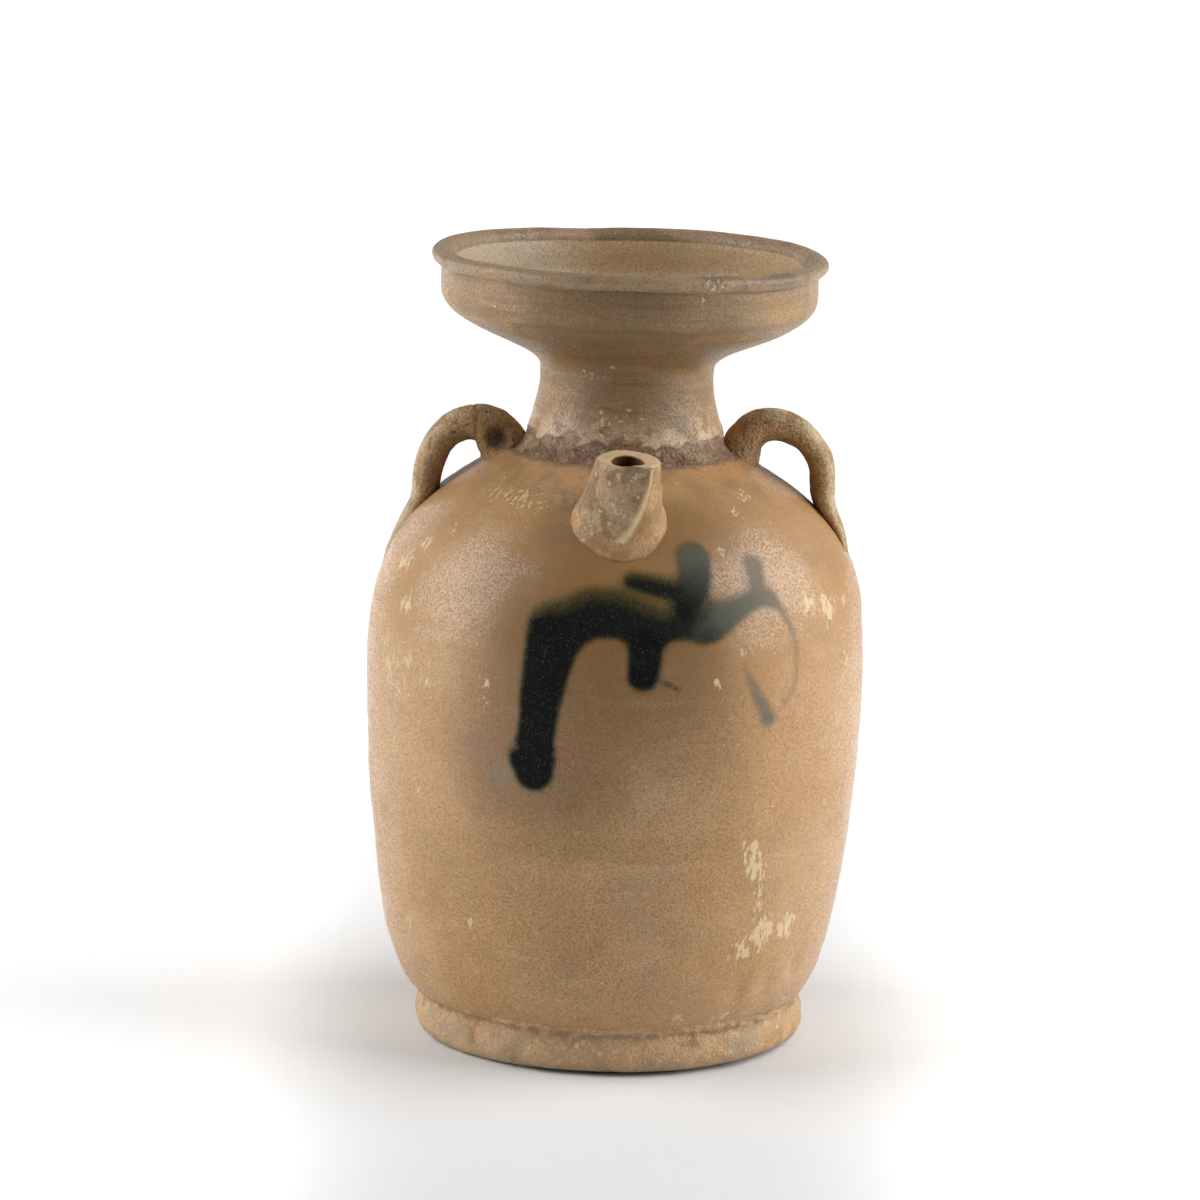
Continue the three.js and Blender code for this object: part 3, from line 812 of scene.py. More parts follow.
neck_curve = bezier([(NECK_ROOT, shoulder_top), (24.3, 176.5), (22.6, 184.5), (NECK_TOP, neck_top)])


def beside(grid, way):
    """The same grid moved sideways: the neck and the dish stand a little to the right of the body's axis."""
    return grid + np.array([way, 0, 0])


def neck_profile():
    """Up the outside, over the top, down the inside and back under the wall."""
    outer = evenly(neck_curve, 0.45)
    top = evenly([neck_curve[-1], neck_curve[-1] - (NECK_WALL, 0)], 1.7)
    inner = evenly(neck_curve[::-1] - (NECK_WALL, 0), 1.5)
    base = evenly([inner[-1], neck_curve[0]], 1.7)
    return chain(outer, top, inner, base)[:-1], len(outer)


def neck_grid(columns):
    """The turned neck with fine rings and a skin of glaze that ends in a ragged edge above the bare ring."""
    profile, outer = neck_profile()
    angle = round_angles(columns)
    points = turned(profile, columns)
    ring = np.stack(np.broadcast_arrays(30 * np.sin(angle), -30 * np.cos(angle), np.zeros_like(angle)), -1)
    edge = GLAZE_EDGE + 1.0 * roughness_of(ring, 5.0, 61, 4)
    glazed = ease(points[..., 2], edge - 0.25, edge + 0.3)
    drips = ease(points[..., 2], edge + 10.0, edge) * glazed
    swell = GLAZE_SKIN * glazed + 0.25 * lumps(points, 9, 62) + 0.1 * lumps(points, 3, 63)
    swell = swell + 0.1 * lumps(points * (0.25, 0.25, 1), 2.2, 64)
    swell[outer:] = 0
    swell = swell * ease(points[..., 2], neck_top, neck_top - 3)
    return beside(turned(profile, columns, swell), NECK_SHIFT), {"bare": 1 - glazed, "drips": drips}


def coil_grid(columns):
    """A ring with a hollow outer side, from the shoulder up to the neck; its inner side is in the neck."""
    hollow = [(32.2, shoulder_top - 0.8), (28.7, shoulder_top + 0.7), (26.9, coil_top - 1.6)]
    outer = evenly(bezier(hollow), 0.4)
    inner = evenly([outer[-1], (25.4, coil_top - 2.0), (26.4, shoulder_top + 0.4), outer[0]], 1.5)
    profile = chain(outer, inner)[:-1]
    points = turned(profile, columns)
    swell = 0.3 * lumps(points, 7, 65) + 0.22 * lumps(points, 2.6, 66) + 0.1 * lumps(points, 1.0, 67)
    swell[len(outer) :] = 0
    return beside(turned(profile, columns, swell), NECK_SHIFT)


# %% Make the dish
DISH_RADIUS = 52.0
DISH_COLUMNS = 400
DISH_TILT = 0.75
BOWL_EDGE = (48, 209)
RIM_WAVES = [(0.06, 0.42), (0.02, -0.10), (0.39, 0.11), (-0.07, -0.08)]
LIP_UNDERCUT = (DISH_RADIUS + 0.1, 215.4)
LIP_SIDE = [LIP_UNDERCUT, (53.4, 215.7), (54.9, 216.9), (55.0, 218.3), (54.5, 219.4), (53.2, 219.6)]
LIP_TOP = [(53.2, 219.6), (51.7, 219.95), (50.2, 219.7), (49.0, 218.9), (48.3, 217.6), (48.0, 215.6)]


def dish_profile():
    """Up the flare, round the rolled lip, down the inner bowl and back along the seat on the neck; also where
    the lip starts and ends."""
    flare = bezier([(NECK_TOP, neck_top), (27.0, 195.6), (DISH_RADIUS, 199.4), (DISH_RADIUS, 209)])
    flare = evenly(flare, 0.8)
    wall = evenly([flare[-1], (DISH_RADIUS, 213.5), LIP_UNDERCUT], 0.6)
    lip = evenly(chain(bezier(LIP_SIDE), through(LIP_TOP)), 0.3)
    drop = evenly([lip[-1], BOWL_EDGE], 0.8)
    inner = evenly(bezier([BOWL_EDGE, (48, 202), (23.5, 198.5), (NECK_TOP - NECK_WALL, neck_top)]), 0.9)
    seat = evenly([inner[-1], flare[0]], 1.7)
    start = len(flare) + len(wall) - 2
    return chain(flare, wall, lip, drop, inner, seat)[:-1], start, start + len(lip)


def dish_grid(columns):
    """The turned dish with throwing rings and lumps, hanging to the right, with a lip that rises and falls in
    waves: each is a share of the cosine and of the sine of once, twice and more times the angle."""
    profile, lip_start, lip_end = dish_profile()
    angle = round_angles(columns)
    points = turned(profile, columns)
    lift = ease(points[..., 2], neck_top, neck_top + 13)
    rings = lumps(points * (0.18, 0.18, 1), 2.6, 71)
    swell = (0.3 * lumps(points, 20, 72) + 0.12 * lumps(points, 5, 73) + 0.14 * rings) * lift
    grid = turned(profile, columns, swell)
    sag = -math.tan(math.radians(DISH_TILT)) * grid[..., 0]
    wave = 0.1 + 0.3 * lumps(points * (1, 1, 0), 18, 74)
    for k, (cosine, sine) in enumerate(RIM_WAVES, 1):
        wave = wave + cosine * np.cos(k * angle) + sine * np.sin(k * angle)
    grid[..., 2] += lift * (sag + wave)
    row = np.arange(len(profile))[:, None]
    marks = {"bead": ((row > lip_start) & (row < lip_end - 4)) * 1.0, "inner": (row >= lip_end - 4) * 1.0}
    return beside(grid, NECK_SHIFT), marks


# %% The worn glaze of neck and dish
def neck_glaze():
    """The same glaze, greyer and more worn: level streaks, patches of crust, a grey lip, a paler inside that
    is partly painted sheen, a front darkened by a stain and painted shade, and bare clay under its ragged,
    pale, dripping edge."""
    finish, place = new_finish("worn_glaze")
    colour, grain = glaze_ground(place)
    dull = shade((0.265, 0.175, 0.087, 1), grain * 0.4 + 0.72)
    colour = tint(colour, dull, blotch(place, 14, 49, 3, 0.2, 0.6) * 0.75)
    streaks = cloud(place, 3.2, 51, 5, (0.12, 0.12, 1.6))
    colour = tint(colour, (0.235, 0.145, 0.066, 1), between(streaks, 0.46, 0.62) * 0.65)
    colour = tint(colour, ASH, blotch(place, 8, 52, 5, 0.52, 0.68) * 0.5)
    inner, bead, bare = mark(place, "inner"), mark(place, "bead"), mark(place, "bare")
    across = mm_along(place, "X") + cloud(place, 22, 68, 3) * 30
    forward = mm_along(place, "Y")
    # Partly a darker stain, partly painted shade: the front of the neck and dish is darkened.
    front_stain_and_painted_shade = between(across, -30, 5) * between(across, 60, 25) * between(forward, -12, -34)
    colour = shade(colour, 1 - front_stain_and_painted_shade * 0.36)
    # The inside is paler, partly its own colour and partly painted sheen; the greyer tone on its left is
    # painted sheen.
    pale = tint((0.53, 0.375, 0.215, 1), (0.50, 0.41, 0.305, 1), between(across, 8, -14))
    colour = tint(colour, shade(pale, grain * 0.3 + 0.78), inner * 0.9)
    worn = tint((0.325, 0.232, 0.14, 1), (0.17, 0.12, 0.077, 1), blotch(place, 14, 69, 4, 0.46, 0.62))
    colour = tint(colour, shade(worn, grain * 0.4 + 0.74), bead * 0.7)
    wet = mark(place, "drips") * blotch(place, 6, 70, 4, 0.40, 0.56)
    colour = tint(colour, shade((0.60, 0.44, 0.30, 1), grain * 0.4 + 0.8), wet * 0.6)
    rust = blotch(place, 5, 75, 4, 0.63, 0.68) * (1 - inner)
    colour = tint(colour, (0.27, 0.13, 0.065, 1), rust * 0.6)
    colour = tint(colour, ring_clay(place, grain), bare * 0.92)
    colour, cover = crusted(place, colour, blotch(place, 13, 53, 4, 0.46, 0.72) * 0.42, 1.6, 54)
    roughness = cover * 0.2 + bare * 0.2 - grain * 0.28 + 0.62
    height = grain * 0.3 + streaks * 0.9 + cloud(place, 2.2, 55, 3) * 0.6 + cover * 0.5
    return fire(finish, surface_of(colour, roughness, height, 0.16, 0.42))


# %% The bare clay of the luting coil
def band_clay():
    """Bare clay that fired to a dull purple brown, with dark pits, rusty grains and pale dust."""
    finish, place = new_finish("bare_band_clay")
    colour = tint(PURPLE_CLAY, BARE_CLAY, blotch(place, 5, 56, 5, 0.40, 0.62))
    colour = tint(colour, (0.40, 0.27, 0.155, 1), blotch(place, 11, 76, 4, 0.52, 0.64) * 0.6)
    grain = blotch(place, 0.8, 57, 2, 0.28, 0.72)
    colour = shade(colour, grain * 0.55 + 0.6)
    colour = tint(colour, (0.05, 0.028, 0.02, 1), blotch(place, 1.7, 58, 3, 0.60, 0.70) * 0.8)
    colour = tint(colour, (0.40, 0.25, 0.15, 1), blotch(place, 2.4, 59, 4, 0.56, 0.66) * 0.65)
    bumps = grain * 0.7 + cloud(place, 2.4, 60, 4) * 1.6
    return fire(finish, surface_of(colour, grain * 0.1 + 0.72, bumps, 0.4, 0.3))


# %% Put neck, coil and dish in place
worn_glaze = neck_glaze()
neck_points, neck_marks = neck_grid(NECK_COLUMNS)
stand_for("neck", skin("neck", neck_points, True, neck_marks), worn_glaze)
coil_mesh = skin("neck_luting_coil", coil_grid(NECK_COLUMNS), True)
stand_for("neck_luting_coil", coil_mesh, band_clay())
dish_points, dish_marks = dish_grid(DISH_COLUMNS)
stand_for("dish_mouth", skin("dish_mouth", dish_points, True, dish_marks), worn_glaze)

# %% [markdown]
# ## The spout and its collar
# A slab of clay was rolled into a short tube, so an overlapping edge winds down its front, and the part
# beside that edge was scraped flat. The tube leans forward from the shoulder and its mouth is cut nearly
# level. Lines along the tube are followed until they meet the body, found by halving, so the root sits on
# the shoulder. A Boolean cut would fit it too, but leaves thin, ragged faces where two shapes cross.

# %% The spout's own directions
SPOUT_LEAN = math.radians(35)
SPOUT_TURN = math.radians(1.6)
SPOUT_SEAT_RADIUS = 48.0
SPOUT_LENGTH = 21.2
SPOUT_ROOT = 11.9
SPOUT_TIP = 8.5
SPOUT_BORE = 4.5
MOUTH_SLANT = math.tan(math.radians(27))
ROOT_SHIFT = -1.5
SPOUT_COLUMNS = 240

spout_out = np.array([math.sin(SPOUT_TURN), -math.cos(SPOUT_TURN), 0])
spout_side = np.array([math.cos(SPOUT_TURN), math.sin(SPOUT_TURN), 0])
spout_axis = spout_out * math.sin(SPOUT_LEAN) + np.array([0, 0, math.cos(SPOUT_LEAN)])
spout_front = spout_out * math.cos(SPOUT_LEAN) - np.array([0, 0, math.sin(SPOUT_LEAN)])
spout_seat_height = np.interp(-SPOUT_SEAT_RADIUS, -shoulder[:, 0], shoulder[:, 1])
spout_seat = spout_out * SPOUT_SEAT_RADIUS + np.array([0, 0, spout_seat_height])
print("spout seat at", np.round(spout_seat, 1))


def spout_across(psi):
    """The direction square to the spout's axis, at an angle from its front."""
    return np.cos(psi)[..., None] * spout_front + np.sin(psi)[..., None] * spout_side


def spout_point(along, radius, psi):
    """A point by its way along the axis, its distance from the axis and its angle from the spout's front."""
    shift = ROOT_SHIFT * np.clip(1 - along / SPOUT_LENGTH, 0, 1)
    beside_axis = shift[..., None] * spout_side + radius[..., None] * spout_across(psi)
    return spout_seat + along[..., None] * spout_axis + beside_axis


def meets_body(radius, psi):
    """How far along the spout's axis a line at a radius and angle leaves the body, found by halving."""
    radius, psi = np.broadcast_arrays(np.asarray(radius, float), psi)
    low, high = np.full(psi.shape, -25.0), np.full(psi.shape, 25.0)
    for _ in range(40):
        middle = (low + high) / 2
        point = spout_point(middle, radius, psi)
        outside = np.hypot(point[..., 0], point[..., 1]) > body_radius(point[..., 2])
        low, high = np.where(outside, low, middle), np.where(outside, middle, high)
    return (low + high) / 2


# %% Make the spout
SCOOP_ANGLE = math.radians(-22)
SCOOP_TIP = 5.0
SCOOP_ROOT = 11.6
SCOOP_FLATNESS = 0.75
LEFT_FLATNESS = 0.64
RIDGE_ROUND = 0.16
LEFT_ROUND = 1.1
LIP_ROWS = 7


def spout_outside(along, psi):
    """The tube's radius: a cone, cut on its front by a scoop flatter than the tube, which leaves a sharp
    ridge on the right and fades away on the left; also how far the scoop is in and the angle from its
    middle."""
    share = np.clip(along / SPOUT_LENGTH, -0.4, 1.4)
    cone = SPOUT_ROOT + (SPOUT_TIP - SPOUT_ROOT) * share
    away = spread(psi - SCOOP_ANGLE)
    turn = np.radians(away) * np.where(away > 0, SCOOP_FLATNESS, LEFT_FLATNESS)
    scoop = (SCOOP_ROOT + (SCOOP_TIP - SCOOP_ROOT) * share) / np.cos(np.clip(turn, -1.4, 1.4))
    rounding = RIDGE_ROUND + (LEFT_ROUND - RIDGE_ROUND) * ease(away, 0, -45)
    radius = -rounding * np.logaddexp(-cone / rounding, -scoop / rounding)
    return radius, cone - scoop, away


def mouth_height(radius, psi):
    """Where the level cut of the mouth crosses a line of the tube."""
    return SPOUT_LENGTH + radius * np.cos(psi) * MOUTH_SLANT + 0.25 * np.sin(2 * psi + 0.5)


def spout_grid(columns):
    """Up the outside from the shoulder, over the rounded lip and down the bore, as one closed tube wall."""
    psi = round_angles(columns)
    root = meets_body(SPOUT_ROOT, psi) - 2.5
    mouth = mouth_height(SPOUT_TIP, psi)
    for _ in range(3):
        mouth = mouth_height(spout_outside(mouth, psi)[0], psi)
    edge = spout_outside(mouth, psi)[0]
    rounding = np.minimum((edge - SPOUT_BORE) * 0.42, 1.0 + 0.9 * ease(np.cos(psi + np.pi / 2), 0.2, 1.0))
    along = root + (mouth - rounding - root) * np.linspace(0, 1, 90)[:, None]
    outer, cut, away = spout_outside(along, psi)
    turn = np.linspace(0, np.pi / 2, LIP_ROWS)[1:, None]
    lip_along = mouth - rounding + rounding * np.sin(turn)
    lip = outer[-1:] - rounding + rounding * np.cos(turn)
    top = lip[-1:] + (SPOUT_BORE - lip[-1:]) * np.array([[0.35], [0.7], [0.95], [1.0]])
    top_along = mouth_height(top, psi) - np.array([[0.0], [0.04], [0.15], [0.4]])
    deep = np.linspace(0, 1, 22)[1:, None] ** 1.3
    bore_along = top_along[-1:] + (root - top_along[-1:]) * deep
    bore = SPOUT_BORE - 0.7 * ease(deep, 0.0, 0.2) + 0 * psi
    along = np.vstack([along, lip_along, top_along, bore_along])
    radius = np.vstack([outer, lip, top, bore])
    psi = np.broadcast_to(psi, radius.shape)
    grid = spout_point(along, radius, psi)
    worn = 0.24 * lumps(grid, 5, 81) + 0.13 * lumps(grid, 2, 82) + 0.06 * lumps(grid, 0.9, 83)
    worn = worn * (np.arange(len(radius)) < len(outer) + LIP_ROWS)[:, None]
    rows = len(outer)
    facet, ridge, upper = (np.zeros(radius.shape) for _ in range(3))
    facet[:rows] = np.where(away > 0, ease(cut, -0.1, 0.35), ease(away, -105, -45))
    facet[rows : rows + LIP_ROWS] = facet[rows - 1]
    # The ridge and the mouth's lip are marked to be painted pale: partly worn glaze, partly a painted
    # highlight.
    ridge[:rows] = hill(cut, 0, 0.42) * ease(away, 0, 20)
    ridge[rows + 2 : rows + LIP_ROWS + 3] = 0.7
    upper[:rows] = ease(mouth - along[:rows], 6.0, 2.0)
    # Rows deep in the bore, marked for painted shade.
    bored = (np.arange(len(radius)) > rows + 9)[:, None]
    marks = {"facet": facet, "edge": ridge, "upper": upper, "inside": bored}
    return spout_point(along, radius + worn, psi), marks


# %% Make the spout's collar
COLLAR_ROWS = 30


def collar_grid(columns):
    """A hollow fillet round the root: a Bezier curve from the shoulder, by the corner, up to the tube."""
    psi = round_angles(columns)
    leftward = ease(np.cos(psi + np.pi / 2), 0.0, 1.0)
    rightward = ease(np.sin(psi), 0.2, 1.0)
    wide = 2.5 - 1.5 * leftward - 1.3 * rightward + 0.5 * np.cos(psi) + 0.25 * np.sin(3 * psi)
    tall = 3.8 + 3.0 * leftward - 0.6 * np.cos(psi) + 0.4 * np.sin(4 * psi)
    corner = meets_body(spout_outside(meets_body(SPOUT_ROOT, psi), psi)[0], psi)
    corner_radius = spout_outside(corner, psi)[0]
    top_radius = spout_outside(corner + tall, psi)[0] - 0.25
    foot_along = meets_body(corner_radius + wide, psi)
    ends = [
        spout_point(foot_along, corner_radius + wide, psi),
        spout_point(corner + 0.5, corner_radius + 0.3, psi),
        spout_point(corner + tall, top_radius, psi),
    ]
    t = np.linspace(0, 1, COLLAR_ROWS)[:, None, None]
    curve = ends[0] * (1 - t) ** 2 + 2 * ends[1] * t * (1 - t) + ends[2] * t**2
    lift = 0.75 * ease(t, 0.0, 0.1) - 0.5
    curve = curve + (lift * (1 - t) ** 2) * spout_axis
    swell = 0.3 * lumps(curve, 6, 84) + 0.2 * lumps(curve, 2.4, 85) + 0.08 * lumps(curve, 1.0, 86)
    curve = curve + (swell * ease(1 - t[..., 0], 0.0, 0.25))[..., None] * spout_across(psi)
    inner = np.vstack([spout_point(corner + rise, corner_radius - 2.0, psi) for rise in (1.0, -2.5)])
    # Painted shade in the undercut where the collar's foot meets the shoulder, strongest on its lower side.
    painted_undercut_shade = np.vstack([ease(t[..., 0], 0.14, 0.0) * ease(np.cos(psi), -0.2, 0.6), np.zeros((2, columns))])
    return np.vstack([curve, inner]), {"painted_undercut_shade": painted_undercut_shade, "scale": leftward * np.ones((COLLAR_ROWS + 2, 1))}


# %% The glaze of the spout
def spout_glaze():
    """Mottled grey-olive with pale scabs on the scraped side and brown elsewhere; pale on worn edges, with a
    painted highlight along the ridge, and painted shade under the collar and down the bore.
    """
    finish, place = new_finish("spout_glaze")
    colour, grain = glaze_ground(place)
    facet, edge = mark(place, "facet"), mark(place, "edge")
    colour = tint(colour, (0.27, 0.155, 0.07, 1), blotch(place, 5, 85, 4, 0.34, 0.6) * 0.8)
    scraped = tint((0.36, 0.255, 0.148, 1), (0.215, 0.135, 0.067, 1), blotch(place, 4.6, 86, 4, 0.45, 0.6))
    smoked = mark(place, "upper") * blotch(place, 4, 90, 3, 0.42, 0.58)
    scraped = tint(scraped, (0.15, 0.115, 0.072, 1), smoked * 0.65)
    scraped = tint(scraped, (0.56, 0.48, 0.34, 1), blotch(place, 2.4, 87, 4, 0.58, 0.66) * 0.75)
    colour = tint(colour, shade(scraped, grain * 0.3 + 0.8), facet * 0.8)
    # Pale along the ridge and lip: partly worn glaze, partly a painted highlight.
    colour = tint(colour, (0.70, 0.52, 0.31, 1), edge * blotch(place, 2.4, 88, 3, 0.2, 0.42) * 0.9)
    # Painted shade in the undercut under the collar.
    colour = tint(colour, UMBER, mark(place, "painted_undercut_shade") * blotch(place, 3, 84, 3, 0.35, 0.55) * 0.8)
    # Painted shade deep in the bore.
    colour = tint(colour, (0.12, 0.06, 0.026, 1), mark(place, "inside") * 0.9)
    colour, cover = crusted(place, colour, mark(place, "scale") * 0.45, 1.5, 83)
    roughness = facet * 0.1 - grain * 0.2 + cover * 0.1 + 0.62
    height = grain * 0.3 + cloud(place, 2.0, 89, 3) + cover * 0.6
    return fire(finish, surface_of(colour, roughness, height, 0.2, 0.3))


# %% Put spout and collar in place
spout_finish = spout_glaze()
spout_points, spout_marks = spout_grid(SPOUT_COLUMNS)
stand_for("spout", skin("spout", spout_points, True, spout_marks), spout_finish)
collar_points, collar_marks = collar_grid(SPOUT_COLUMNS)
collar_mesh = skin("spout_luting_coil", collar_points, True, collar_marks)
stand_for("spout_luting_coil", collar_mesh, spout_finish)

# %% [markdown]
# ## Lugs and strap handle
# A lug is a rolled coil of clay, bent over, pressed on beside the neck and smeared down the shoulder with a
# finger. Its path runs in the pot's own middle plane. A section, given by half its thickness and half its
# width, is carried along the path. A Blender curve with a round bevel could follow the same path, but its
# section couldn't flatten into a smear. The strap handle at the back is pulled, so it is flat, with two
# grooves.

# %% Sections along a path
LUG_COLUMNS = 72
LEFT_LUG = [
    # way out from the axis, height and half the thickness, in mm
    (31.4, 158.0, 7.0), (32.3, 164.4, 7.0), (34.3, 167.6, 6.7), (36.6, 169.8, 6.1), (39.4, 171.0, 5.3),
    (42.6, 170.9, 4.75), (45.7, 169.8, 4.45), (48.2, 168.0, 4.2), (50.3, 165.4, 4.15), (52.0, 161.8, 4.1),
    (53.2, 157.9, 4.05), (53.9, 153.4, 3.9), (55.0, 149.5, 3.1), (56.9, 145.7, 2.8), (59.3, 141.2, 2.5),
    (61.2, 137.4, 2.2), (62.9, 133.6, 1.8), (64.3, 129.8, 1.2), (65.6, 126.0, 0.4),
]
RIGHT_LUG = [
    (32.0, 160.5, 5.7), (33.2, 166.6, 5.5), (34.6, 169.5, 5.1), (36.5, 171.5, 4.9), (39.0, 172.7, 4.65),
    (41.7, 173.1, 4.5), (44.5, 172.7, 4.3), (47.5, 171.6, 4.1), (50.5, 169.7, 3.85), (53.0, 166.8, 3.65),
    (54.7, 164.0, 3.6), (55.5, 161.0, 3.6), (55.8, 157.6, 3.55), (56.0, 154.3, 3.45), (56.8, 151.3, 2.9),
    (58.6, 147.9, 2.3), (60.6, 144.1, 1.75), (62.4, 139.5, 1.1), (63.6, 135.0, 0.6),
]
print(len(LEFT_LUG), "marks on the left lug and", len(RIGHT_LUG), "on the right one")


def outward(grid, centre):
    """Unit vectors from the middle of each section to the points round it."""
    away = grid - centre[:, None]
    return away / np.linalg.norm(away, axis=-1, keepdims=True)


def carried(path, half_thick, half_wide, columns, power=2.0):
    """A section carried along a path in a plane: (out, up) points, with the width across the plane. The
    section is a rounded box: cosines and sines raised to 2 / power, times half its thickness and width."""
    along = np.gradient(path, axis=0)
    along = along / np.linalg.norm(along, axis=1)[:, None]
    normal = np.column_stack([along[:, 1], -along[:, 0]])
    turn = round_angles(columns)
    thick = np.sign(np.cos(turn)) * np.abs(np.cos(turn)) ** (2 / power) * half_thick[:, None]
    wide = np.sign(np.sin(turn)) * np.abs(np.sin(turn)) ** (2 / power) * half_wide[:, None]
    out = path[:, :1] + normal[:, :1] * thick
    up = path[:, 1:] + normal[:, 1:] * thick
    return out, wide, up


# %% Make the lugs
lug_width = corners("right_lug")[1][1]


def lug_grid(marks, side, seed):
    """The lug's section carried along its path, knobbly all over; its outer side is marked for a painted
    highlight and its inner side for painted shade.
    """
    course = evenly(through(marks), 0.5)
    half_wide = lug_width * np.interp(course[:, 1], [128, 136, 142, 150, 166], [0.5, 0.9, 1.0, 0.94, 1.0])
    share = np.linspace(0, 1, len(course))
    half_wide = half_wide * (1 + 0.25 * ease(share, 0.12, 0.0)) * (1 - 0.5 * ease(share, 0.9, 1.0))
    out, wide, up = carried(course[:, :2], course[:, 2], half_wide, LUG_COLUMNS)
    grid = np.stack([side * out, side * wide, up], -1)
    centre = np.stack([side * course[:, 0], 0 * share, course[:, 1]], -1)
    knobs = 0.16 * lumps(grid, 8, seed) + 0.14 * lumps(grid, 3, seed + 1) + 0.08 * lumps(grid, 1.3, seed + 2)
    facing = np.cos(round_angles(LUG_COLUMNS))
    # The coil's outer, upper side is marked for a painted highlight and its inner side, facing the eye, for
    # painted shade.
    painted_top_highlight = ease(-facing, 0.05, 0.85) * ease(share, 0.08, 0.3)[:, None]
    kept = {"painted_top_highlight": painted_top_highlight, "dirt_and_painted_shade": ease(facing, 0.35, 0.95)}
    return grid + outward(grid, centre) * (knobs * ease(share, 1.0, 0.85)[:, None])[..., None], kept


# %% Marks of the thumb
THUMB_PRESS = (-34.4, 167.6)
CREASE = -40.8


def pressed(grid, spot, size):
    """How far the points in front lie in a soft round dent: 1 at its middle, falling to 0 beyond its size."""
    away = np.hypot(grid[..., 0] - spot[0], grid[..., 2] - spot[1])
    return np.exp(-((away / size) ** 4)) * ease(grid[..., 1], 0.5, -2.0)


def creased(grid, place, wide):
    """A narrow groove across the top of a lug at a place along X, wandering a little."""
    line = place + 0.7 * lumps(grid, 3.0, 105)
    return np.exp(-(((grid[..., 0] - line) / wide) ** 2)) * ease(grid[..., 2], 166.5, 170.0)


# %% Make the strap handle
STRAP_CURVE = [(51.6, 201.6), (69.0, 200.0), (64.5, 168.3), (60, 135)]
STRAP_TAIL = [(36.0, 198.2), (41.5, 199.3), (46.6, 202.0), STRAP_CURVE[0]]
STRAP_THICK = 8.0
STRAP_WIDE = 21.0
STRAP_END = 26.0
STRAP_COLUMNS = 120
GROOVE_PLACE = 0.36
GROOVE_WIDTH = 0.1095


def strap_grid(columns):
    """A flat rounded section with two grooves on its outer face, wider where it joins the dish and the
    shoulder. Its upper end thins out along the dish's underside and bends round with it."""
    course = evenly(chain(bezier(STRAP_TAIL), bezier(STRAP_CURVE)), 0.8)
    share = np.linspace(0, 1, len(course))
    flare = np.maximum(ease(share, 0.22, 0.0), ease(share, 0.78, 1.0))
    half_wide = (STRAP_WIDE + (STRAP_END - STRAP_WIDE) * flare) / 2 - 0.3
    half_thick = STRAP_THICK / 2 * (0.12 + 0.88 * ease(share, 0.0, 0.17))
    out, wide, up = carried(course, half_thick, half_wide, columns, 2.8)
    up = up + 0.45 * (np.hypot(out, wide) - out) * ease(share, 0.2, 0.0)[:, None]
    across = wide / half_wide[:, None]
    groove = hill(across, GROOVE_PLACE, GROOVE_WIDTH) + hill(across, -GROOVE_PLACE, GROOVE_WIDTH)
    grid = np.stack([-wide, out, up], -1)
    centre = np.stack([0 * share, course[:, 0], course[:, 1]], -1)
    outside = (np.cos(round_angles(columns)) > 0) * 1.0
    knobs = 0.22 * lumps(grid, 9, 95) + 0.12 * lumps(grid, 3, 96) - 0.75 * groove * outside
    return grid + outward(grid, centre) * knobs[..., None]


# %% The glaze of lugs and handle
def lug_glaze():
    """Thinly glazed coil: olive brown, a painted grey-green highlight outside, painted shade in the hollows,
    a dark thumb mark.
    """
    finish, place = new_finish("lug_glaze")
    colour = tint((0.385, 0.232, 0.1, 1), (0.275, 0.168, 0.07, 1), blotch(place, 9, 91, 5, 0.4, 0.62))
    grain = blotch(place, 0.75, 93, 2, 0.28, 0.72)
    colour = shade(colour, grain * 0.6 + 0.7)
    # Painted highlight on the coil's outer side.
    painted_highlight_cover = mark(place, "painted_top_highlight") * blotch(place, 7, 92, 4, 0.36, 0.56)
    colour = tint(colour, shade((0.46, 0.37, 0.23, 1), grain * 0.5 + 0.75), painted_highlight_cover * 0.75)
    # Painted shade on the coil's inner side and in its hollows.
    painted_underside_shade = mark(place, "dirt_and_painted_shade") * blotch(place, 5, 100, 3, 0.3, 0.55)
    colour = tint(colour, (0.19, 0.1, 0.042, 1), painted_underside_shade * 0.7)
    colour = tint(colour, (0.05, 0.028, 0.013, 1), blotch(place, 1.8, 94, 4, 0.61, 0.69) * 0.75)
    colour, cover = crusted(place, colour, blotch(place, 8, 97, 4, 0.46, 0.7) * 0.45, 1.7, 98)
    colour = tint(colour, (0.026, 0.012, 0.006, 1), mark(place, "thumb"))
    bumps = grain * 0.6 + cloud(place, 2.4, 99, 4) * 1.2
    return fire(finish, surface_of(colour, grain * 0.14 + 0.52, bumps, 0.26, 0.4))


# %% Put lugs and handle in place
lug_finish = lug_glaze()
left_points, left_marks = lug_grid(LEFT_LUG, -1, 101)
thumb, crease = pressed(left_points, THUMB_PRESS, 3.3), creased(left_points, CREASE, 0.45)
left_points = left_points + np.stack([0 * thumb, 1.0 * thumb, -0.4 * crease], -1)
left_marks["thumb"] = np.maximum(0.92 * thumb, 0.55 * crease)
stand_for("left_lug", skin("left_lug", left_points, False, left_marks), lug_finish)
right_points, right_marks = lug_grid(RIGHT_LUG, 1, 111)
stand_for("right_lug", skin("right_lug", right_points, False, right_marks), lug_finish)
stand_for("rear_handle", skin("rear_handle", strap_grid(STRAP_COLUMNS)), lug_finish)


# %% [markdown]
# ## Floor and light
# A plain pale floor runs out of the picture on every side. Two large soft lights stand left and right of the
# pot and a little above it, so its middle is darker than its sides and the dull glaze shows a broad sheen on
# each shoulder. Weak lights behind it lift its edges, and one over the floor keeps the background white.


# %% Make the floor
FLOOR_HALF = 9.0
FLOOR_TONE = (0.76, 0.76, 0.76, 1)


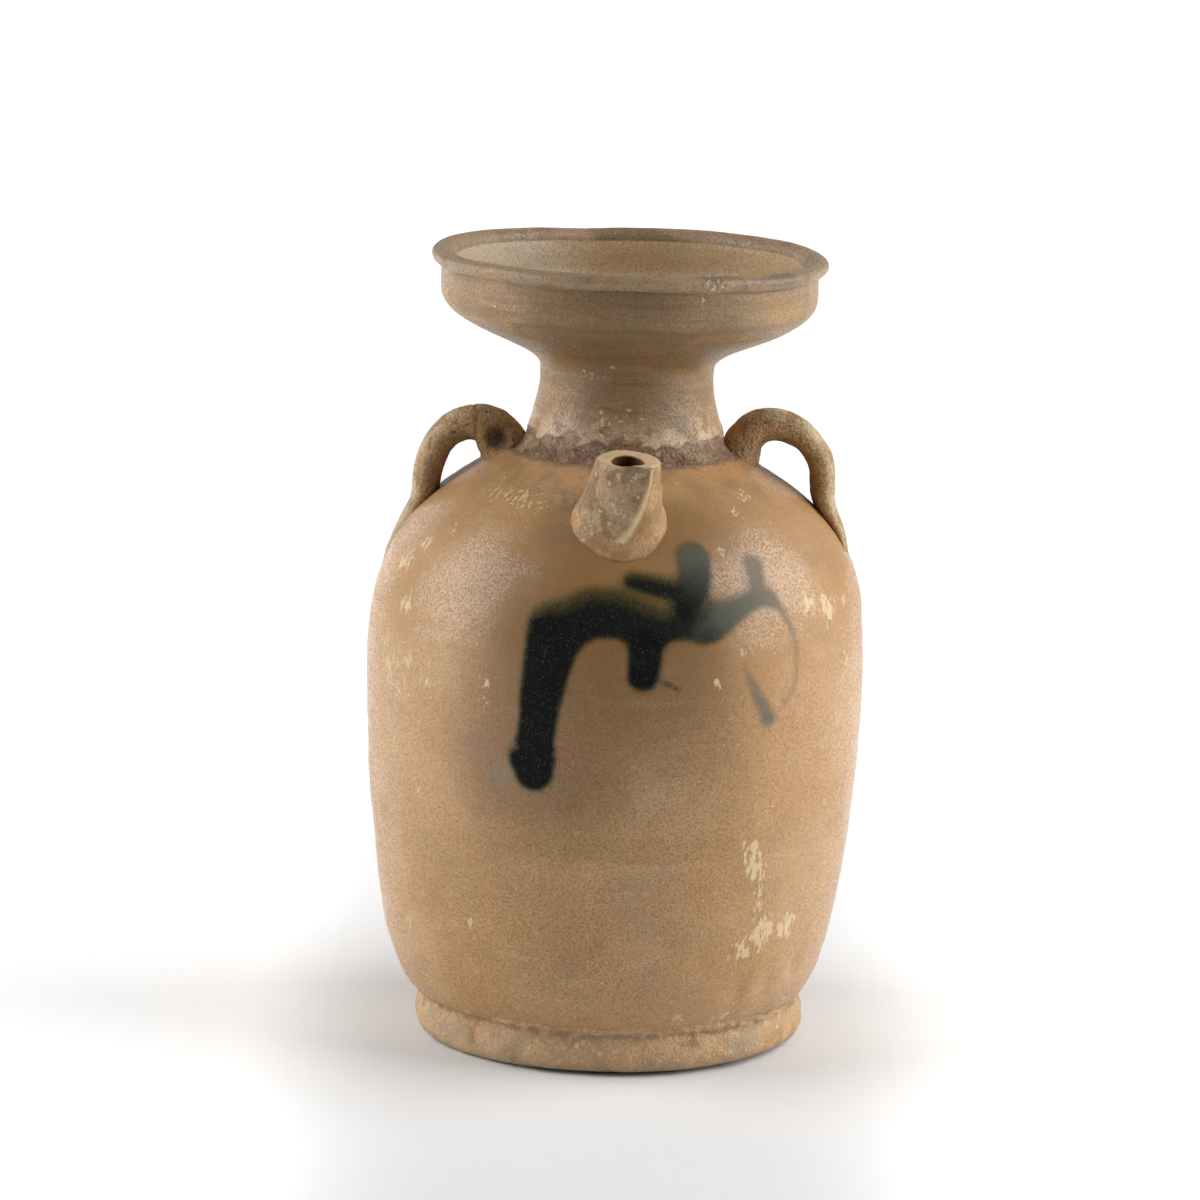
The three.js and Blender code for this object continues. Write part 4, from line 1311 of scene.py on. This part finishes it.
def pale_floor():
    """A matt, almost white table top with a trace of grain, lit from below: faintly beside the pot, to thin
    its shadows, and well far behind it, so it stays white to its end."""
    finish, place = new_finish("pale_floor")
    grain = cloud(place, 40, 121, 3)
    colour = shade(FLOOR_TONE, grain * 0.02 + 0.99)
    reach = place.node("VectorMath", {"operation": "LENGTH"}, {0: place}, out="Value")
    across = place.node("SeparateXYZ", {}, {"Vector": place}, out="X")
    glow = between(across * across, 0.001, 0.011) * between(reach, 1.0, 0.4) * 0.4
    back = place.node("SeparateXYZ", {}, {"Vector": place}, out="Y")
    glow = glow + between(reach, 1.2, 2.6) * between(back, -0.6, 0.6) * 0.8
    normal = grain.node("Bump", {}, {"Strength": 1.0, "Distance": 0.00001, "Height": grain})
    lit = shade((1, 1, 1, 1), glow)
    sockets = {"Base Color": colour, "Roughness": 0.9, "Normal": normal, "Specular IOR Level": 0.1}
    sockets.update({"Emission Color": lit, "Emission Strength": 1.0})
    return fire(finish, place.node("BsdfPrincipled", {}, sockets))


floor_mesh = bpy.data.meshes.new("floor")
square = [(-1, -1, 0), (1, -1, 0), (1, 1, 0), (-1, 1, 0)]
floor_mesh.from_pydata([tuple(FLOOR_HALF * c for c in corner) for corner in square], [], [(0, 1, 2, 3)])
floor_mesh.materials.append(pale_floor())
floor = bpy.data.objects.new("floor", floor_mesh)
bpy.context.scene.collection.objects.link(floor)
print("floor", 2 * FLOOR_HALF, "m wide")

# %% Set the lights
POT_MIDDLE = Vector((0, 0, 110)) * MM
LIGHT_DISTANCE = 1.0
LIGHTS = [
    # name, azimuth and elevation in degrees, width and height in metres, brightness as seen
    ("left_box", -83, 26, 0.86, 1.1, 3.85),
    ("left_rear", -140, 12, 0.5, 0.5, 1.6),
    ("right_box", 85, 29, 1.05, 1.0, 4.65),
    ("right_rear", 145, 12, 0.5, 0.5, 0.2),
    ("back", 180, 24, 1.0, 0.5, 0.5),
]
FLOOR_LIGHT_PLACE = (0, 2.4, 1.6)
FLOOR_LIGHT_SIZE = (3.0, 3.4)
FLOOR_LIGHT_SPREAD = 50
FLOOR_LIGHT_POWER = 38
ROOM_GLOW = 0.02


def softbox(name, azimuth, elevation, wide, tall, glow):
    """A flat soft light that faces the pot; azimuth 0 is the camera's side and grows to the right. Glow is
    its brightness as seen, and its power is that times pi times its area."""
    lamp = bpy.data.lights.new(name, "AREA")
    lamp.shape = "RECTANGLE"
    lamp.size, lamp.size_y = wide, tall
    lamp.energy = glow * math.pi * wide * tall
    a, e = math.radians(azimuth), math.radians(elevation)
    way = Vector((math.sin(a) * math.cos(e), -math.cos(a) * math.cos(e), math.sin(e)))
    lamp_object = bpy.data.objects.new(name, lamp)
    lamp_object.location = POT_MIDDLE + way * LIGHT_DISTANCE
    lamp_object.rotation_euler = (-way).to_track_quat("-Z", "Y").to_euler()
    bpy.context.scene.collection.objects.link(lamp_object)
    print(name, "power", round(lamp.energy, 1))


for light in LIGHTS:
    softbox(*light)

floor_lamp = bpy.data.lights.new("floor_light", "AREA")
floor_lamp.shape = "RECTANGLE"
floor_lamp.size, floor_lamp.size_y = FLOOR_LIGHT_SIZE
floor_lamp.spread = math.radians(FLOOR_LIGHT_SPREAD)
floor_lamp.energy = FLOOR_LIGHT_POWER
floor_light = bpy.data.objects.new("floor_light", floor_lamp)
floor_light.location = FLOOR_LIGHT_PLACE
bpy.context.scene.collection.objects.link(floor_light)

world = bpy.data.worlds.new("glow")
world.use_nodes = True
world.node_tree.nodes["Background"].inputs["Color"].default_value = (1, 1, 1, 1)
world.node_tree.nodes["Background"].inputs["Strength"].default_value = ROOM_GLOW
bpy.context.scene.world = world
bpy.context.scene.view_settings.view_transform = "Standard"
